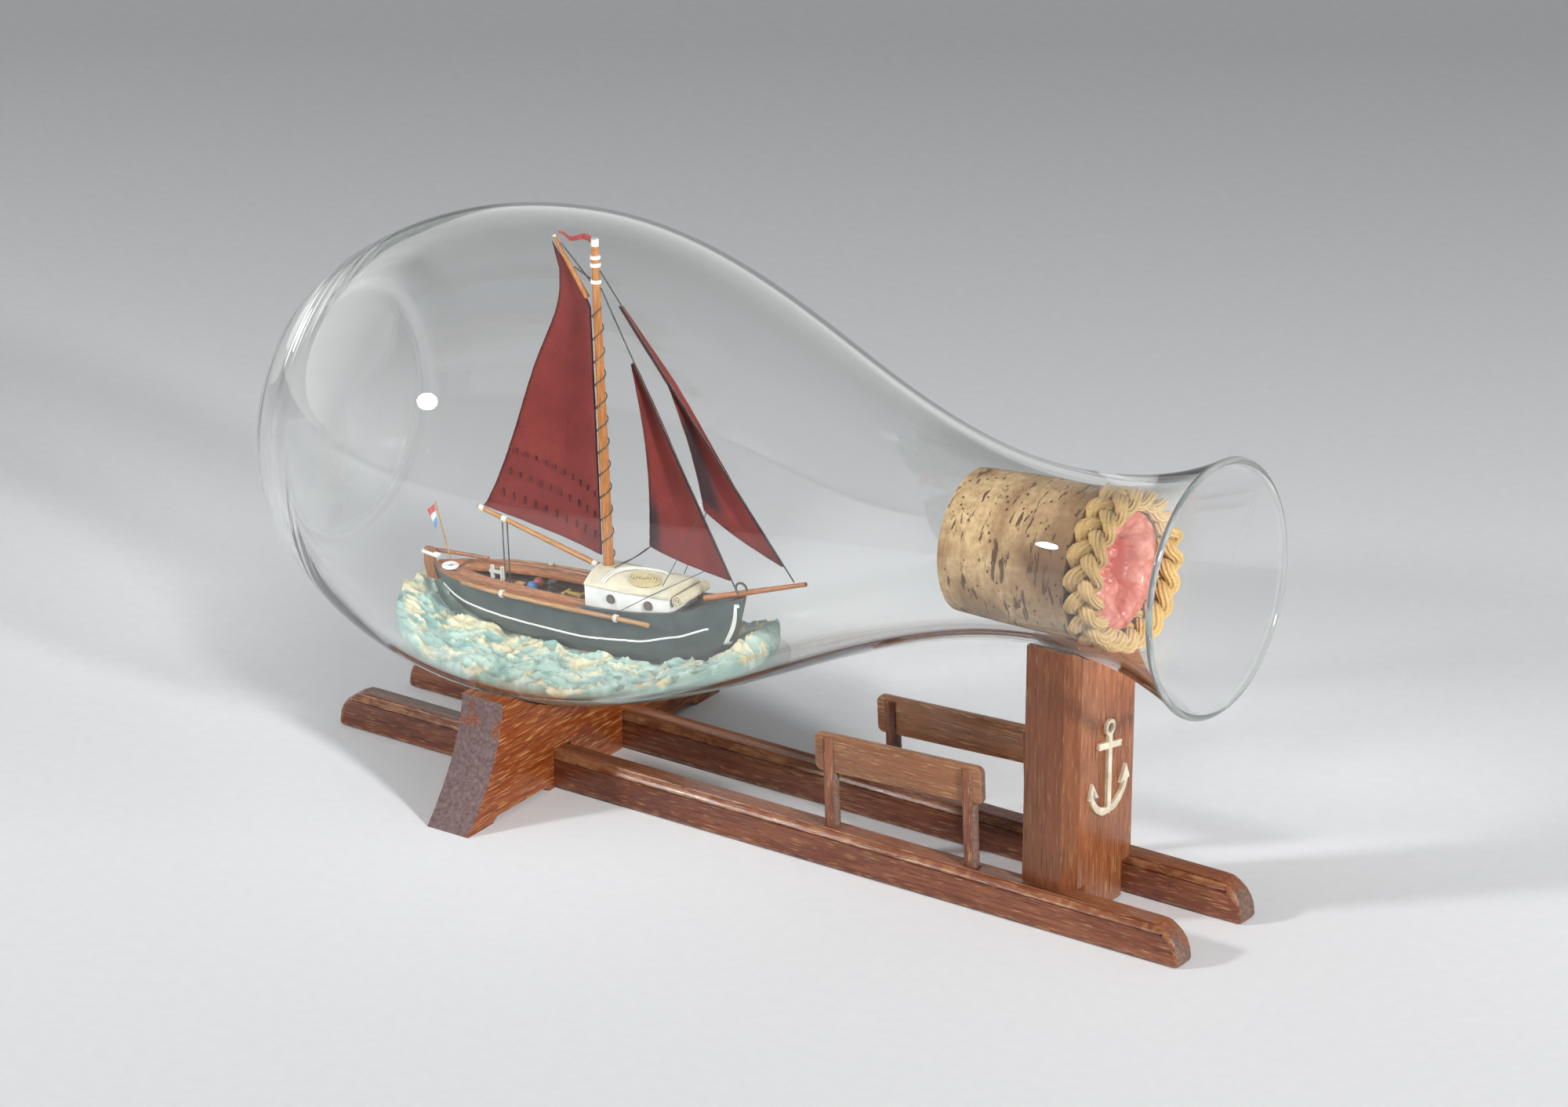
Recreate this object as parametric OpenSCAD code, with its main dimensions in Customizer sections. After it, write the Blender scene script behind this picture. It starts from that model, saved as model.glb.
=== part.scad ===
// Ship in a bottle: a gaff-rigged sailing barge on a putty sea, in a flared glass carafe
// that is corked, ringed with plaited rope and sealed with wax, lying on a wooden stand.
// Millimetres. +X runs along the rails towards the mouth, +Z is up, and the origin is
// on the table under the middle of the whole object.

/* [Bottle] */
// Length of the bottle from its base to its rim
bottle_len = 273; // [255:1:300]
// Outer radius at the belly
belly_r = 65; // [60:0.5:72]
// Distance from the base to the widest place
belly_at = 74; // [66:1:84]
// Outer radius of the ring that the bottle stands on
base_r = 34.5; // [31:0.5:38]
// Width of that ring
base_ring_w = 4; // [2:0.5:8]
// Outer radius where the heel turns into the side
heel_r = 47.6; // [45:0.2:51]
// Distance from the base to that turn
heel_at = 14; // [11:0.5:18]
// Outer radius halfway down the shoulder
shoulder_r = 44; // [41:0.5:48]
// Distance from the base to that place
shoulder_at = 150; // [140:1:160]
// Outer radius at the throat, the narrowest place
throat_r = 22.7; // [21:0.1:25]
// Distance from the throat to the rim
mouth_len = 45; // [39:1:53]
// Outer radius of the flared mouth
mouth_r = 33.2; // [30:0.2:37]
// Glass thickness at the foot of the wall
base_wall = 8.4; // [5:0.2:10]
// Glass thickness at the belly
belly_wall = 1.8; // [1.2:0.1:2.6]
// Glass thickness at the throat
throat_wall = 2.6; // [1.8:0.1:3.4]
// Glass thickness at the lip
lip_wall = 1.9; // [1.2:0.1:2.6]
// Height of the hollow pushed up under the base
punt_h = 11; // [6:0.5:12]
// Height of the dome that it makes inside
dome_h = 8; // [5:0.5:14]
// Tilt of the bottle, mouth upwards
bottle_tilt = 3; // [0:0.5:5]

/* [Cork] */
// Length of the cork
cork_len = 38.5; // [30:0.5:46]
// How far its outer end stands past the throat
cork_past_throat = 13.5; // [10:0.5:18]
// How much smaller its radius is at the inner end
cork_taper = 1.7; // [0.5:0.1:3]
// Thickness of one strand of the rope ring
strand_d = 2.4; // [2:0.1:2.6]
// How far a strand swings along the bottle
plait_swing = 3.4; // [3.2:0.1:4.2]
// How far a strand swings towards and away from the glass
plait_lift = 1.95; // [1.8:0.05:2.4]
// Swings of the one strand in its three trips round the ring
plait_swings = 16; // [13:3:19]
// Thickness of the sealing wax
wax_h = 5.4; // [4:0.2:8]
// Depth of the hollow in the wax
wax_hollow_h = 3; // [1:0.2:3.6]
// Width of the wax left round that hollow
wax_rim_w = 3; // [2:0.2:5]

/* [Stand] */
// How far the rails run on past the length of the bottle
rail_past_rim = 3; // [0:0.5:10]
// Width of each rail
rail_w = 7.4; // [6.6:0.2:10]
// Height of each rail
rail_h = 10.7; // [9.5:0.1:14]
// Gap between the two rails
rail_gap = 23.6; // [21:0.2:27]
// Distance from the bottle's base to the rear ends of the rails
rail_setback = 14; // [4:1:20]
// Radius of the rounded noses of the rails
rail_nose = 9; // [5:0.5:9]
// Chamfer along the top edges of the rails
rail_chamfer = 1.2; // [0.4:0.1:1.6]
// Height of the lowest point of the bottle
seat_z = 20.6; // [18.5:0.2:26]
// Room between the glass and the wood under it
seat_gap = 0.3; // [0.1:0.05:0.6]
// Distance from the bottle's base to the middle of the cradle
cradle_at = 78.4; // [72:0.5:90]
// Thickness of the cradle
cradle_t = 13; // [9:0.5:18]
// Width of the cradle across its horns
cradle_w = 83.6; // [78:0.5:90]
// Height of the horns above the seat
cradle_horn = 11.6; // [9:0.2:13]
// Width of the cradle across its feet
cradle_foot_w = 115; // [108:0.5:122]
// Height of the hollow under the cradle
cradle_arch = 1.5; // [0.5:0.1:3]
// Distance from the throat to the middle of the post
post_past_throat = 7; // [0:0.5:12]
// Width of the post
post_w = 31.8; // [29:0.2:38]
// Depth of the post
post_t = 14.5; // [11:0.5:18]
// Chamfer on the front edges of the post
post_chamfer = 3.2; // [1:0.1:4]
// Height of the post's corners above the glass that it carries
post_horn = 4.2; // [2:0.1:5]

/* [Name boards] */
// Length of each board
plate_len = 50.6; // [40:0.5:56]
// Height of each board
plate_h = 10.2; // [8:0.2:13]
// Thickness of each board
plate_t = 2.2; // [1.4:0.1:2.6]
// Corner radius of each board
plate_corner = 1.8; // [0.5:0.1:3]
// Distance from the middle of the boards to the middle of the post
plate_before_post = 44.7; // [41:0.1:51]
// Height of the boards above the rails
plate_clear = 16.2; // [10:0.2:22]
// How much farther back the far board stands
far_board_back = 1.3; // [0:0.1:3]
// How much lower the far board stands
far_board_drop = 1.2; // [0:0.1:3]
// Diameter of the pegs
peg_d = 4; // [3.4:0.1:4.6]
// Distance from a board's end to the middle of its peg
peg_inset = 4.2; // [3:0.1:8]
// Depth of the peg holes in the rails
peg_hole = 6; // [4:0.5:7]
// How far the pegs stop below the board's top edge
peg_drop = 0.8; // [0.2:0.1:2]

/* [Badge] */
// Height of the anchor badge
badge_h = 25.5; // [18:0.5:30]
// Width of the anchor badge across its arms
badge_w = 18; // [13:0.5:22]
// Thickness of the anchor badge
badge_t = 1; // [0.6:0.1:2]
// Height of the badge's foot above the rails
badge_clear = 17; // [10:0.5:22]

/* [Sea and hull] */
// Depth of the putty under the hull
sea_depth = 11.5; // [10.5:0.1:13]
// Height of the waves
wave_h = 3; // [1:0.2:3.6]
// How far the sea swells up round the bow
bow_swell = 12.5; // [8:0.5:13]
// How far the sea swells up behind the stern
stern_swell = 6; // [3:0.5:6.5]
// Room between the putty and the glass
sea_gap = 0.3; // [0.2:0.05:0.6]
// How far the sea runs out ahead of the bow
sea_ahead = 5; // [4:0.5:6]
// How far the sea runs out behind the stern
sea_behind = 7.5; // [5:0.5:8]
// Length of the hull
hull_len = 100; // [90:1:106]
// Beam of the hull
hull_beam = 21.6; // [20:0.2:23]
// Height of the hull's side amidships
hull_h = 15; // [14:0.1:16]
// Rise of the gunwale at the bow
bow_rise = 7.4; // [5:0.2:8]
// Thickness of the bulwarks
bulwark_t = 1.2; // [0.8:0.1:1.8]
// Height of the deck above the hull's bottom
deck_h = 10.9; // [10:0.1:11.4]
// Width of the board that runs round the well
coaming_w = 3.8; // [2.6:0.1:4.4]
// Distance from the stern to the mast, as a share of the hull's length
mast_share = 0.57; // [0.54:0.005:0.6]
// Length of the cabin, as a share of the hull's length
cabin_share = 0.26; // [0.22:0.005:0.27]
// Width of the cabin
cabin_w = 16; // [13.6:0.2:16.4]
// Height of the cabin's sides above the deck
cabin_h = 9.3; // [8.2:0.1:10]
// Crown of the cabin roof
roof_crown = 3.3; // [2.5:0.1:4.2]

/* [Rig] */
// Room between the mast's top and the glass
mast_clear = 1.6; // [1.4:0.1:5]
// Radius of the mast at its foot
mast_r = 1.5; // [1.2:0.1:1.8]
// Radius of the mast at its top
mast_top_r = 1; // [0.8:0.1:1.2]
// Length of the boom, as a share of the hull's length
boom_share = 0.4; // [0.34:0.005:0.44]
// How far the boom's fore end lies below the crown of the cabin roof
boom_drop = 1; // [0.2:0.1:1.6]
// How far the boom rises towards its aft end
boom_rise = 9.6; // [6:0.2:12]
// How far the throat of the gaff lies below the mast's top
gaff_drop = 15.8; // [13:0.2:20]
// How far aft the gaff reaches
gaff_reach = 11.4; // [8:0.2:14]
// Radius of the boom and the gaff
spar_r = 0.8; // [0.6:0.05:1]
// Length of the bowsprit past the stem
bowsprit_out = 19.5; // [14:0.5:24]
// Thickness of the sails
sail_t = 0.5; // [0.4:0.05:0.8]
// Belly of the sails
sail_belly = 2.8; // [1:0.1:4]
// Thickness of the rigging
line_d = 0.5; // [0.4:0.05:0.7]
// Turns of the lacing round the mast
lacing_turns = 11; // [7:1:14]

/* [Hidden] */
$fn = 48;

// Room between pieces that are glued or fitted into each other
fit = 0.05;
// Room round the cork, which slides
cork_gap = 0.12;
// Slopes of the bottle's outline at the base, the heel, the shoulder and the mouth
base_slope = 1.25;
heel_slope = 0.66;
shoulder_slope = -0.43;
mouth_slope = 0.55;
// Where the thick glass of the base has thinned out, measured from the belly
thin_before_belly = 22;
// Steps along each stretch of the bottle's outline
outline_steps = 8;

// Places along the bottle, as distances from its base
throat_at = bottle_len - mouth_len;
post_at = throat_at + post_past_throat;
plate_at = post_at - plate_before_post;
rail_len = bottle_len + rail_past_rim - rail_setback;

// Outline of the bottle: distance from the base, radius, slope
out_knots = [
    [0, base_r, base_slope], [heel_at, heel_r, heel_slope], [belly_at, belly_r, 0],
    [shoulder_at, shoulder_r, shoulder_slope], [throat_at, throat_r, 0],
    [bottle_len, mouth_r, mouth_slope]
];
// Glass thickness along the bottle: distance from the base, thickness, slope
wall_knots = [
    [heel_at, base_wall, -0.3], [belly_at - thin_before_belly, belly_wall, 0],
    [throat_at, throat_wall, 0], [bottle_len, lip_wall, 0]
];

function mix(a, b, t) = a + (b - a) * t;
function hermite(k, l, x) =
    let (h = l[0] - k[0], t = (x - k[0]) / h)
    (2 * t ^ 3 - 3 * t ^ 2 + 1) * k[1] + (t ^ 3 - 2 * t ^ 2 + t) * h * k[2]
    + (3 * t ^ 2 - 2 * t ^ 3) * l[1] + (t ^ 3 - t ^ 2) * h * l[2];
function along(knots, x, i = 0) =
    (i >= len(knots) - 2 || x <= knots[i + 1][0])
    ? hermite(knots[i], knots[i + 1], x)
    : along(knots, x, i + 1);
function out_r(b) = along(out_knots, b);
function in_r(b) = out_r(b) - along(wall_knots, b);
function stops(knots, n) = [
    for (i = [0 : len(knots) - 2]) for (j = [0 : n - 1]) mix(knots[i][0], knots[i + 1][0], j / n),
    knots[len(knots) - 1][0]
];

// Where the bottle lies: the middle of its base, so that the whole object is centred
rear_reach = base_r * sin(bottle_tilt);
front_reach = max(rail_setback + rail_len, (bottle_len + lip_wall / 2) * cos(bottle_tilt) + mouth_r * sin(bottle_tilt));
base_x = (rear_reach - front_reach) / 2;
base_z = seat_z + belly_r * cos(bottle_tilt) - belly_at * sin(bottle_tilt);

// The stand, measured from the bottle's base
rail_y = (rail_gap + rail_w) / 2;
cradle_x = base_x + cradle_at;
post_x = base_x + post_at;
post_top = base_z + post_at * tan(bottle_tilt) - out_r(post_at) * cos(bottle_tilt) + post_horn;
plate_x = base_x + plate_at;
plate_z = rail_h + plate_clear + plate_h / 2;
peg_x = plate_len / 2 - peg_inset;

// The cork and what is on it, as distances from the bottle's base
cork_r = throat_r - throat_wall - cork_gap;
cork_out = throat_at + cork_past_throat;
cork_in = cork_out - cork_len;
strand_r = strand_d / 2;
plait_at = cork_out + 0.3 + plait_swing + strand_r;
plait_r = in_r(plait_at - plait_swing) - 0.4 - plait_lift - strand_r + plait_lift * 0.25;
wax_r = plait_r - plait_lift - strand_r - 0.3;

// The ship: distances from the bottle's base, heights above the bottle's axis
// Distance from the stern to the bottle's widest place
stern_before_belly = 43.1;
stern_at = belly_at - stern_before_belly;
mast_at = stern_at + mast_share * hull_len;
stem_at = stern_at + hull_len;
cabin_len = cabin_share * hull_len;
boom_len = boom_share * hull_len;
bed = sea_depth - in_r(belly_at);
deck_v = bed + deck_h;
rail_v = bed + hull_h;
mast_top = in_r(mast_at) - mast_clear;
cabin_aft = mast_at - mast_r - 0.9;
cabin_fore = cabin_aft + cabin_len;
cabin_v = deck_v + cabin_h;
roof_v = cabin_v + roof_crown;
boom_v = roof_v - boom_drop;
throat_v = mast_top - gaff_drop;
peak_v = mast_top - 0.9;
stem_v = rail_v + bow_rise;
line_r = line_d / 2;

// General modules

module in_bottle() {
    translate([base_x, 0, base_z]) rotate([0, -bottle_tilt, 0]) children();
}

module turned() {
    rotate([0, 90, 0]) rotate_extrude($fn = 96) children();
}

module across(t) {
    rotate([90, 0, 90]) linear_extrude(t, center = true) children();
}

module upright(t) {
    rotate([90, 0, 0]) linear_extrude(t, center = true) children();
}

module rod(p, q, r1, r2) {
    d = q - p;
    translate(p) rotate([0, acos(d[2] / norm(d)), atan2(d[1], d[0])])
        cylinder(h = norm(d), r1 = r1, r2 = is_undef(r2) ? r1 : r2);
}

module rounded_board(l, h, r) {
    square([l - 2 * r, h], center = true);
    square([l, h - 2 * r], center = true);
    for (x = [-1, 1], y = [-1, 1]) translate([x * (l / 2 - r), y * (h / 2 - r)]) circle(r);
}

// Solid through a row of rings of points, turning left round the row's direction
module loft(rings, closed = false) {
    m = len(rings);
    n = len(rings[0]);
    last = closed ? m - 1 : m - 2;
    sides = [
        for (i = [0 : last]) for (j = [0 : n - 1])
            let (k = (i + 1) % m, a = i * n + j, b = i * n + (j + 1) % n, c = k * n + j, d = k * n + (j + 1) % n)
            each [[a, c, d], [a, d, b]]
    ];
    caps = closed ? [] : [for (j = [1 : n - 2]) each [[0, j, j + 1], [(m - 1) * n, (m - 1) * n + j + 1, (m - 1) * n + j]]];
    polyhedron([for (r = rings) each r], concat(sides, caps));
}

// Round tube along a row of points
module tube(path, r, sides, closed = false, up = [0, 0, 1]) {
    m = len(path);
    rings = [
        for (i = [0 : m - 1])
            let (
                p = path[closed ? (i + m - 1) % m : max(i - 1, 0)],
                q = path[closed ? (i + 1) % m : min(i + 1, m - 1)],
                t = (q - p) / norm(q - p),
                s = cross(is_function(up) ? up(i) : up, t),
                n1 = s / norm(s),
                n2 = cross(t, n1)
            )
            [for (k = [0 : sides - 1]) path[i] + r * (cos(360 * k / sides) * n1 + sin(360 * k / sides) * n2)]
    ];
    loft(rings, closed);
}

// Solid between two grids of points, the first of them the outer one
module slab(front, back) {
    m = len(front);
    n = len(front[0]);
    o = m * n;
    function f(i, j) = i * n + j;
    faces = [
        for (i = [0 : m - 2]) for (j = [0 : n - 2])
            let (a = f(i, j), b = f(i, j + 1), c = f(i + 1, j), d = f(i + 1, j + 1))
            each [[a, c, d], [a, d, b], [a + o, d + o, c + o], [a + o, b + o, d + o]],
        for (i = [0 : m - 2])
            let (a = f(i, 0), c = f(i + 1, 0), b = f(i, n - 1), d = f(i + 1, n - 1))
            each [[c, a, a + o], [c, a + o, c + o], [b, d, d + o], [b, d + o, b + o]],
        for (j = [0 : n - 2])
            let (a = f(0, j), b = f(0, j + 1), c = f(m - 1, j), d = f(m - 1, j + 1))
            each [[a, b, b + o], [a, b + o, a + o], [d, c, c + o], [d, c + o, d + o]]
    ];
    polyhedron(concat([for (r = front) each r], [for (r = back) each r]), faces);
}

// Bottle, cork, rope and wax

// The bottle's outside, grown by the room round it, from one place to another along it
module bottle_swell(from, to, room) {
    n = 10;
    turned() polygon(concat(
        [[0, from]],
        [for (i = [0 : n]) let (b = mix(from, to, i / n)) [out_r(b) + room, b]],
        [[0, to]]
    ));
}

module bottle() {
    floor_r = in_r(heel_at);
    stand_r = base_r - base_ring_w;
    lip_r = lip_wall / 2;
    n = 36;
    underside = [for (i = [0 : outline_steps]) let (r = stand_r * i / outline_steps) [r, punt_h * (1 - (r / stand_r) ^ 2)]];
    outside = [for (b = stops(out_knots, outline_steps)) [out_r(b), b]];
    lip = [for (a = [30 : 30 : 150]) [mouth_r - lip_r + lip_r * cos(a), bottle_len + lip_r * sin(a)]];
    inside = [for (i = [n : -1 : 0]) let (b = mix(heel_at, bottle_len, i / n)) [in_r(b), b]];
    dome = [
        for (i = [outline_steps - 1 : -1 : 0])
            let (r = floor_r * i / outline_steps) [r, heel_at + dome_h * (1 - (r / floor_r) ^ 2)]
    ];
    color("LightCyan", 0.35) in_bottle() turned() polygon(concat(underside, outside, lip, inside, dome));
}

module cork() {
    color("Tan") in_bottle() translate([cork_in, 0, 0]) rotate([0, 90, 0])
        cylinder(h = cork_len, r1 = cork_r - cork_taper, r2 = cork_r);
}

// One strand that goes three times round the ring before it meets itself
plait_rings = plait_swings * 12;
function plait_point(i) =
    let (
        turn = 3 * 360 * i / plait_rings,
        swing = plait_swings * 360 * i / plait_rings,
        r = plait_r + plait_lift * sin(2 * swing)
    )
    [plait_at + plait_swing * sin(swing), r * cos(turn), r * sin(turn)];
plait_path = [for (i = [0 : plait_rings - 1]) plait_point(i)];
plait_near = 14;
plait_gap = min([
    for (i = [0 : plait_rings - 1]) for (j = [i + plait_near : plait_rings - 1])
        if (plait_rings + i - j > plait_near) norm(plait_path[i] - plait_path[j])
]) - strand_d;
echo("least gap of the rope ring to itself", plait_gap);

module rope_ring() {
    out = function (i) [0.001, plait_path[i][1], plait_path[i][2]];
    color("BurlyWood") in_bottle() tube(plait_path, strand_r, 6, closed = true, up = out);
}

module sealing_wax() {
    color("LightCoral") in_bottle() translate([cork_out + fit, 0, 0]) rotate([0, 90, 0]) difference() {
        cylinder(h = wax_h, r = wax_r);
        translate([0, 0, wax_h - wax_hollow_h]) cylinder(h = wax_hollow_h + 1, r1 = wax_r - wax_rim_w - 2, r2 = wax_r - wax_rim_w);
    }
}

// The stand

module rail_solid(grow) {
    a = rail_nose;
    x0 = rail_setback;
    x1 = rail_setback + rail_len;
    w = rail_w + 2 * grow;
    h = rail_h + grow;
    c = rail_chamfer;
    side = concat(
        [[x0, 0], [x1, 0]],
        [for (t = [0 : 15 : 90]) [x1 - a + a * cos(t), rail_h - a + a * sin(t) + grow]],
        [for (t = [90 : 15 : 180]) [x0 + a + a * cos(t), rail_h - a + a * sin(t) + grow]]
    );
    section = [[-w / 2, 0], [w / 2, 0], [w / 2, h - c], [w / 2 - c, h], [c - w / 2, h], [-w / 2, h - c]];
    translate([base_x, 0, 0]) intersection() {
        upright(w) polygon(side);
        translate([(x0 + x1) / 2, 0, 0]) across(rail_len + 2) polygon(section);
    }
}

module rail(side) {
    color("SaddleBrown") difference() {
        translate([0, side * rail_y, 0]) rail_solid(0);
        board_pegs_solid(side, fit);
    }
}

module near_rail() {
    rail(-1);
}

module far_rail() {
    rail(1);
}

module rear_cradle() {
    top = seat_z + cradle_horn;
    n = 8;
    flare = 1.8;
    arch_in = rail_gap / 2 + rail_w + 2;
    arch_out = cradle_foot_w / 2 - 11;
    half = concat(
        [[arch_in, 0], [arch_in + 2, cradle_arch], [arch_out - 2, cradle_arch], [arch_out, 0]],
        [for (i = [0 : n]) [mix(cradle_w, cradle_foot_w, (1 - i / n) ^ flare) / 2, top * i / n]]
    );
    outline = concat(half, [for (i = [len(half) - 1 : -1 : 0]) [-half[i][0], half[i][1]]]);
    color("Sienna") difference() {
        translate([cradle_x, 0, 0]) across(cradle_t) polygon(outline);
        in_bottle() bottle_swell(cradle_at - cradle_t, cradle_at + cradle_t + 6, seat_gap);
        for (s = [-1, 1]) translate([cradle_x, s * rail_y, 0]) across(cradle_t + 2)
            translate([-rail_w / 2 - fit, -1]) square([rail_w + 2 * fit, rail_h + fit + 1]);
    }
}

module post_plan(w) {
    c = post_chamfer;
    t = post_t / 2;
    polygon([[-t, -w / 2], [t - c, -w / 2], [t, c - w / 2], [t, w / 2 - c], [t - c, w / 2], [-t, w / 2]]);
}

module front_post() {
    tongue_z = 1;
    color("Sienna") difference() {
        translate([post_x, 0, 0]) union() {
            translate([0, 0, rail_h + fit]) linear_extrude(post_top - rail_h - fit) post_plan(post_w);
            translate([0, 0, tongue_z]) linear_extrude(rail_h - tongue_z + 1) post_plan(rail_gap - 2 * fit);
        }
        in_bottle() bottle_swell(post_at - post_t, post_at + post_t + 6, seat_gap);
    }
}

module board_frame(side) {
    far = side > 0 ? 1 : 0;
    translate([plate_x - far * far_board_back, side * rail_y, plate_z - far * far_board_drop])
        rotate([0, -bottle_tilt, 0]) children();
}

module name_board(side) {
    color("Peru") board_frame(side) upright(plate_t) rounded_board(plate_len, plate_h, plate_corner);
}

module near_name_board() {
    name_board(-1);
}

module far_name_board() {
    name_board(1);
}

// The two pegs of one board, or the holes for them, with room to spare
module board_pegs_solid(side, room) {
    top = plate_h / 2 - peg_drop;
    clear = plate_clear - (side > 0 ? far_board_drop : 0);
    board_frame(side) for (x = [-peg_x, peg_x]) {
        foot = -(clear + plate_h / 2) - x * tan(bottle_tilt) - peg_hole + (room > 0 ? 0 : fit);
        translate([x, 0, foot]) cylinder(h = top - foot, r = peg_d / 2 + room);
    }
}

module board_pegs(side) {
    color("SaddleBrown") difference() {
        board_pegs_solid(side, 0);
        board_frame(side) upright(plate_t + 2 * fit)
            translate([-plate_len, -plate_h / 2 - fit]) square([2 * plate_len, 2 * plate_h]);
    }
}

module near_board_pegs() {
    board_pegs(-1);
}

module far_board_pegs() {
    board_pegs(1);
}

module anchor_badge() {
    eye_r = 2.2;
    bar = 1.7;
    arm_r = badge_w / 2;
    foot = rail_h + badge_clear;
    arm_v = arm_r - 1;
    color("PaleGoldenrod") translate([post_x + post_t / 2 + fit + badge_t / 2, 0, foot]) across(badge_t) {
        translate([0, badge_h - eye_r]) difference() {
            circle(eye_r);
            circle(eye_r - 0.9);
        }
        translate([-bar / 2, 1]) square([bar, badge_h - 2 * eye_r - 0.6]);
        translate([0, badge_h - 2 * eye_r - 2.6]) rotate(-12) square([badge_w * 0.6, bar], center = true);
        intersection() {
            translate([0, arm_v + 0.6]) difference() {
                circle(arm_r);
                translate([0, 1.2]) circle(arm_r - 0.9);
            }
            translate([-arm_r, 0]) square([2 * arm_r, arm_v]);
        }
        polygon([[-bar, 1.6], [0, -0.6], [bar, 1.6]]);
        for (s = [-1, 1]) polygon([
            [s * (arm_r + 0.6), arm_v - 1.6], [s * (arm_r - 1), arm_v + 2.6], [s * (arm_r - 3.8), arm_v - 2]
        ]);
    }
}

// The sea and the hull

// How full the hull's plan is, from 0 at its ends to 1 amidships
function fullness(t) = max(0.05, 1 - abs(2 * t - 1) ^ 2.8) ^ 0.7;
function half_beam(t) = hull_beam / 2 * fullness(t);
function gunwale(t) = rail_v + bow_rise * max(0, 2 * t - 1) ^ 2.6 - 1.4 * max(0, 1 - 2 * t) ^ 2;
function keel(t) = bed + 5 * abs(2 * t - 1) ^ 4;
function hull_t(b) = min(1, max(0, (b - stern_at) / hull_len));
function inner_half(t) = half_beam(t) * 0.98 - min(bulwark_t, half_beam(t) * 0.5);
end_deck_t = 0.07;
well_t = (cabin_aft - 0.3 - stern_at) / hull_len;
fore_deck_t = (cabin_fore + 1 - stern_at) / hull_len;

// One ring of the hull, from the keel up the left side, round the deck and down the right
function hull_ring(t) =
    let (
        h = half_beam(t),
        g = gunwale(t),
        k = keel(t),
        end = t == 0 || t == 1,
        d = t > end_deck_t && t < fore_deck_t ? deck_v : g - (end ? 0.02 : 1),
        i = inner_half(t),
        mid = stern_at + hull_len / 2,
        b = stern_at + hull_len * t,
        foot = mid + (b - mid) * 0.91,
        half = [
            [foot, h * 0.55, k], [foot, h * 0.82, mix(k, g, 0.16)], [mix(foot, b, 0.35), h * 0.96, mix(k, g, 0.38)],
            [mix(foot, b, 0.7), h, mix(k, g, 0.68)], [b, h * 0.98, g],
            [b, i, g], [b, i * 0.96, d]
        ]
    )
    concat(half, [for (k = [len(half) - 1 : -1 : 0]) [half[k][0], -half[k][1], half[k][2]]]);

well_stops = [0.08, 0.11, 0.16, 0.22, 0.3, 0.39, well_t];
hull_stops = concat(
    [0, 0.02, 0.045, 0.07], well_stops,
    [for (u = [0.35, 0.7]) mix(well_t, fore_deck_t, u)], [fore_deck_t - 0.001, fore_deck_t + 0.01],
    [for (u = [0.3, 0.6, 0.85]) mix(fore_deck_t, 1, u)], [1]
);

module hull() {
    color("DarkSlateGray") in_bottle() loft([for (t = hull_stops) hull_ring(t)]);
}

// Waves and swell all round, and a flat bed under the hull
sea_from = stern_at - sea_behind;
sea_to = stem_at + sea_ahead;
sea_mid = (sea_from + sea_to) / 2;
sea_edge = 0.8;
function past_mid(b) = (b - sea_mid) / (sea_to - sea_mid);
function swell(b) = bow_swell * max(0, past_mid(b)) ^ 4 + stern_swell * max(0, -past_mid(b)) ^ 4;
function wave(b, y) =
    let (p = b / hull_len, q = y / hull_len)
    wave_h * (0.5 + 0.3 * sin(p * 1700 + q * 900) + 0.2 * sin(p * 3100 - q * 2300));
function sea_r(b) = in_r(b) - sea_gap;
function sea_bottom(b, y) = -sqrt(sea_r(b) ^ 2 - y ^ 2);
function sea_top(b, y, beside) =
    max(beside ? bed + swell(b) + wave(b, y) : bed - fit, sea_bottom(b, y) + sea_edge);
// Half the width of the sea, rounded off at both ends
function sea_reach(b) =
    0.985 * sqrt(sea_r(b) ^ 2 - (bed + swell(b)) ^ 2) * max(0.06, 1 - abs(past_mid(b)) ^ 6) ^ 0.5;
// Half the width of the bed that is left for the hull
function bed_half(b) = half_beam(hull_t(b)) + 0.5;

module sea() {
    rows = 24;
    ends = 1.2;
    outer_n = 6;
    inner_n = 2;
    stops = concat(
        [sea_from, (sea_from + stern_at - ends) / 2],
        [for (i = [0 : rows]) mix(stern_at - ends, stem_at + ends, i / rows)],
        [(sea_to + stem_at + ends) / 2, sea_to]
    );
    function sides(b) = concat(
        [for (j = [0 : outer_n - 1]) [mix(sea_reach(b), bed_half(b), j / outer_n), true]],
        [for (j = [0 : inner_n]) [mix(bed_half(b), -bed_half(b), j / inner_n), b < stern_at - ends - 0.1 || b > stem_at + ends + 0.1]],
        [for (j = [1 : outer_n]) [mix(-bed_half(b), -sea_reach(b), j / outer_n), true]]
    );
    top = [for (b = stops) [for (q = sides(b)) [b, q[0], sea_top(b, q[0], q[1])]]];
    bottom = [for (b = stops) [for (q = sides(b)) [b, q[0], sea_bottom(b, q[0])]]];
    color("MediumAquamarine") in_bottle() slab(top, bottom);
}

deck_t = 0.5;
module deck() {
    side = [for (t = well_stops) [stern_at + hull_len * t, inner_half(t) * 0.96 - 0.3]];
    color("Sienna") in_bottle() translate([0, 0, deck_v + fit]) linear_extrude(deck_t)
        polygon(concat(side, [for (i = [len(side) - 1 : -1 : 0]) [side[i][0], -side[i][1]]]));
}
plank_v = deck_v + fit + deck_t;

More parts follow.
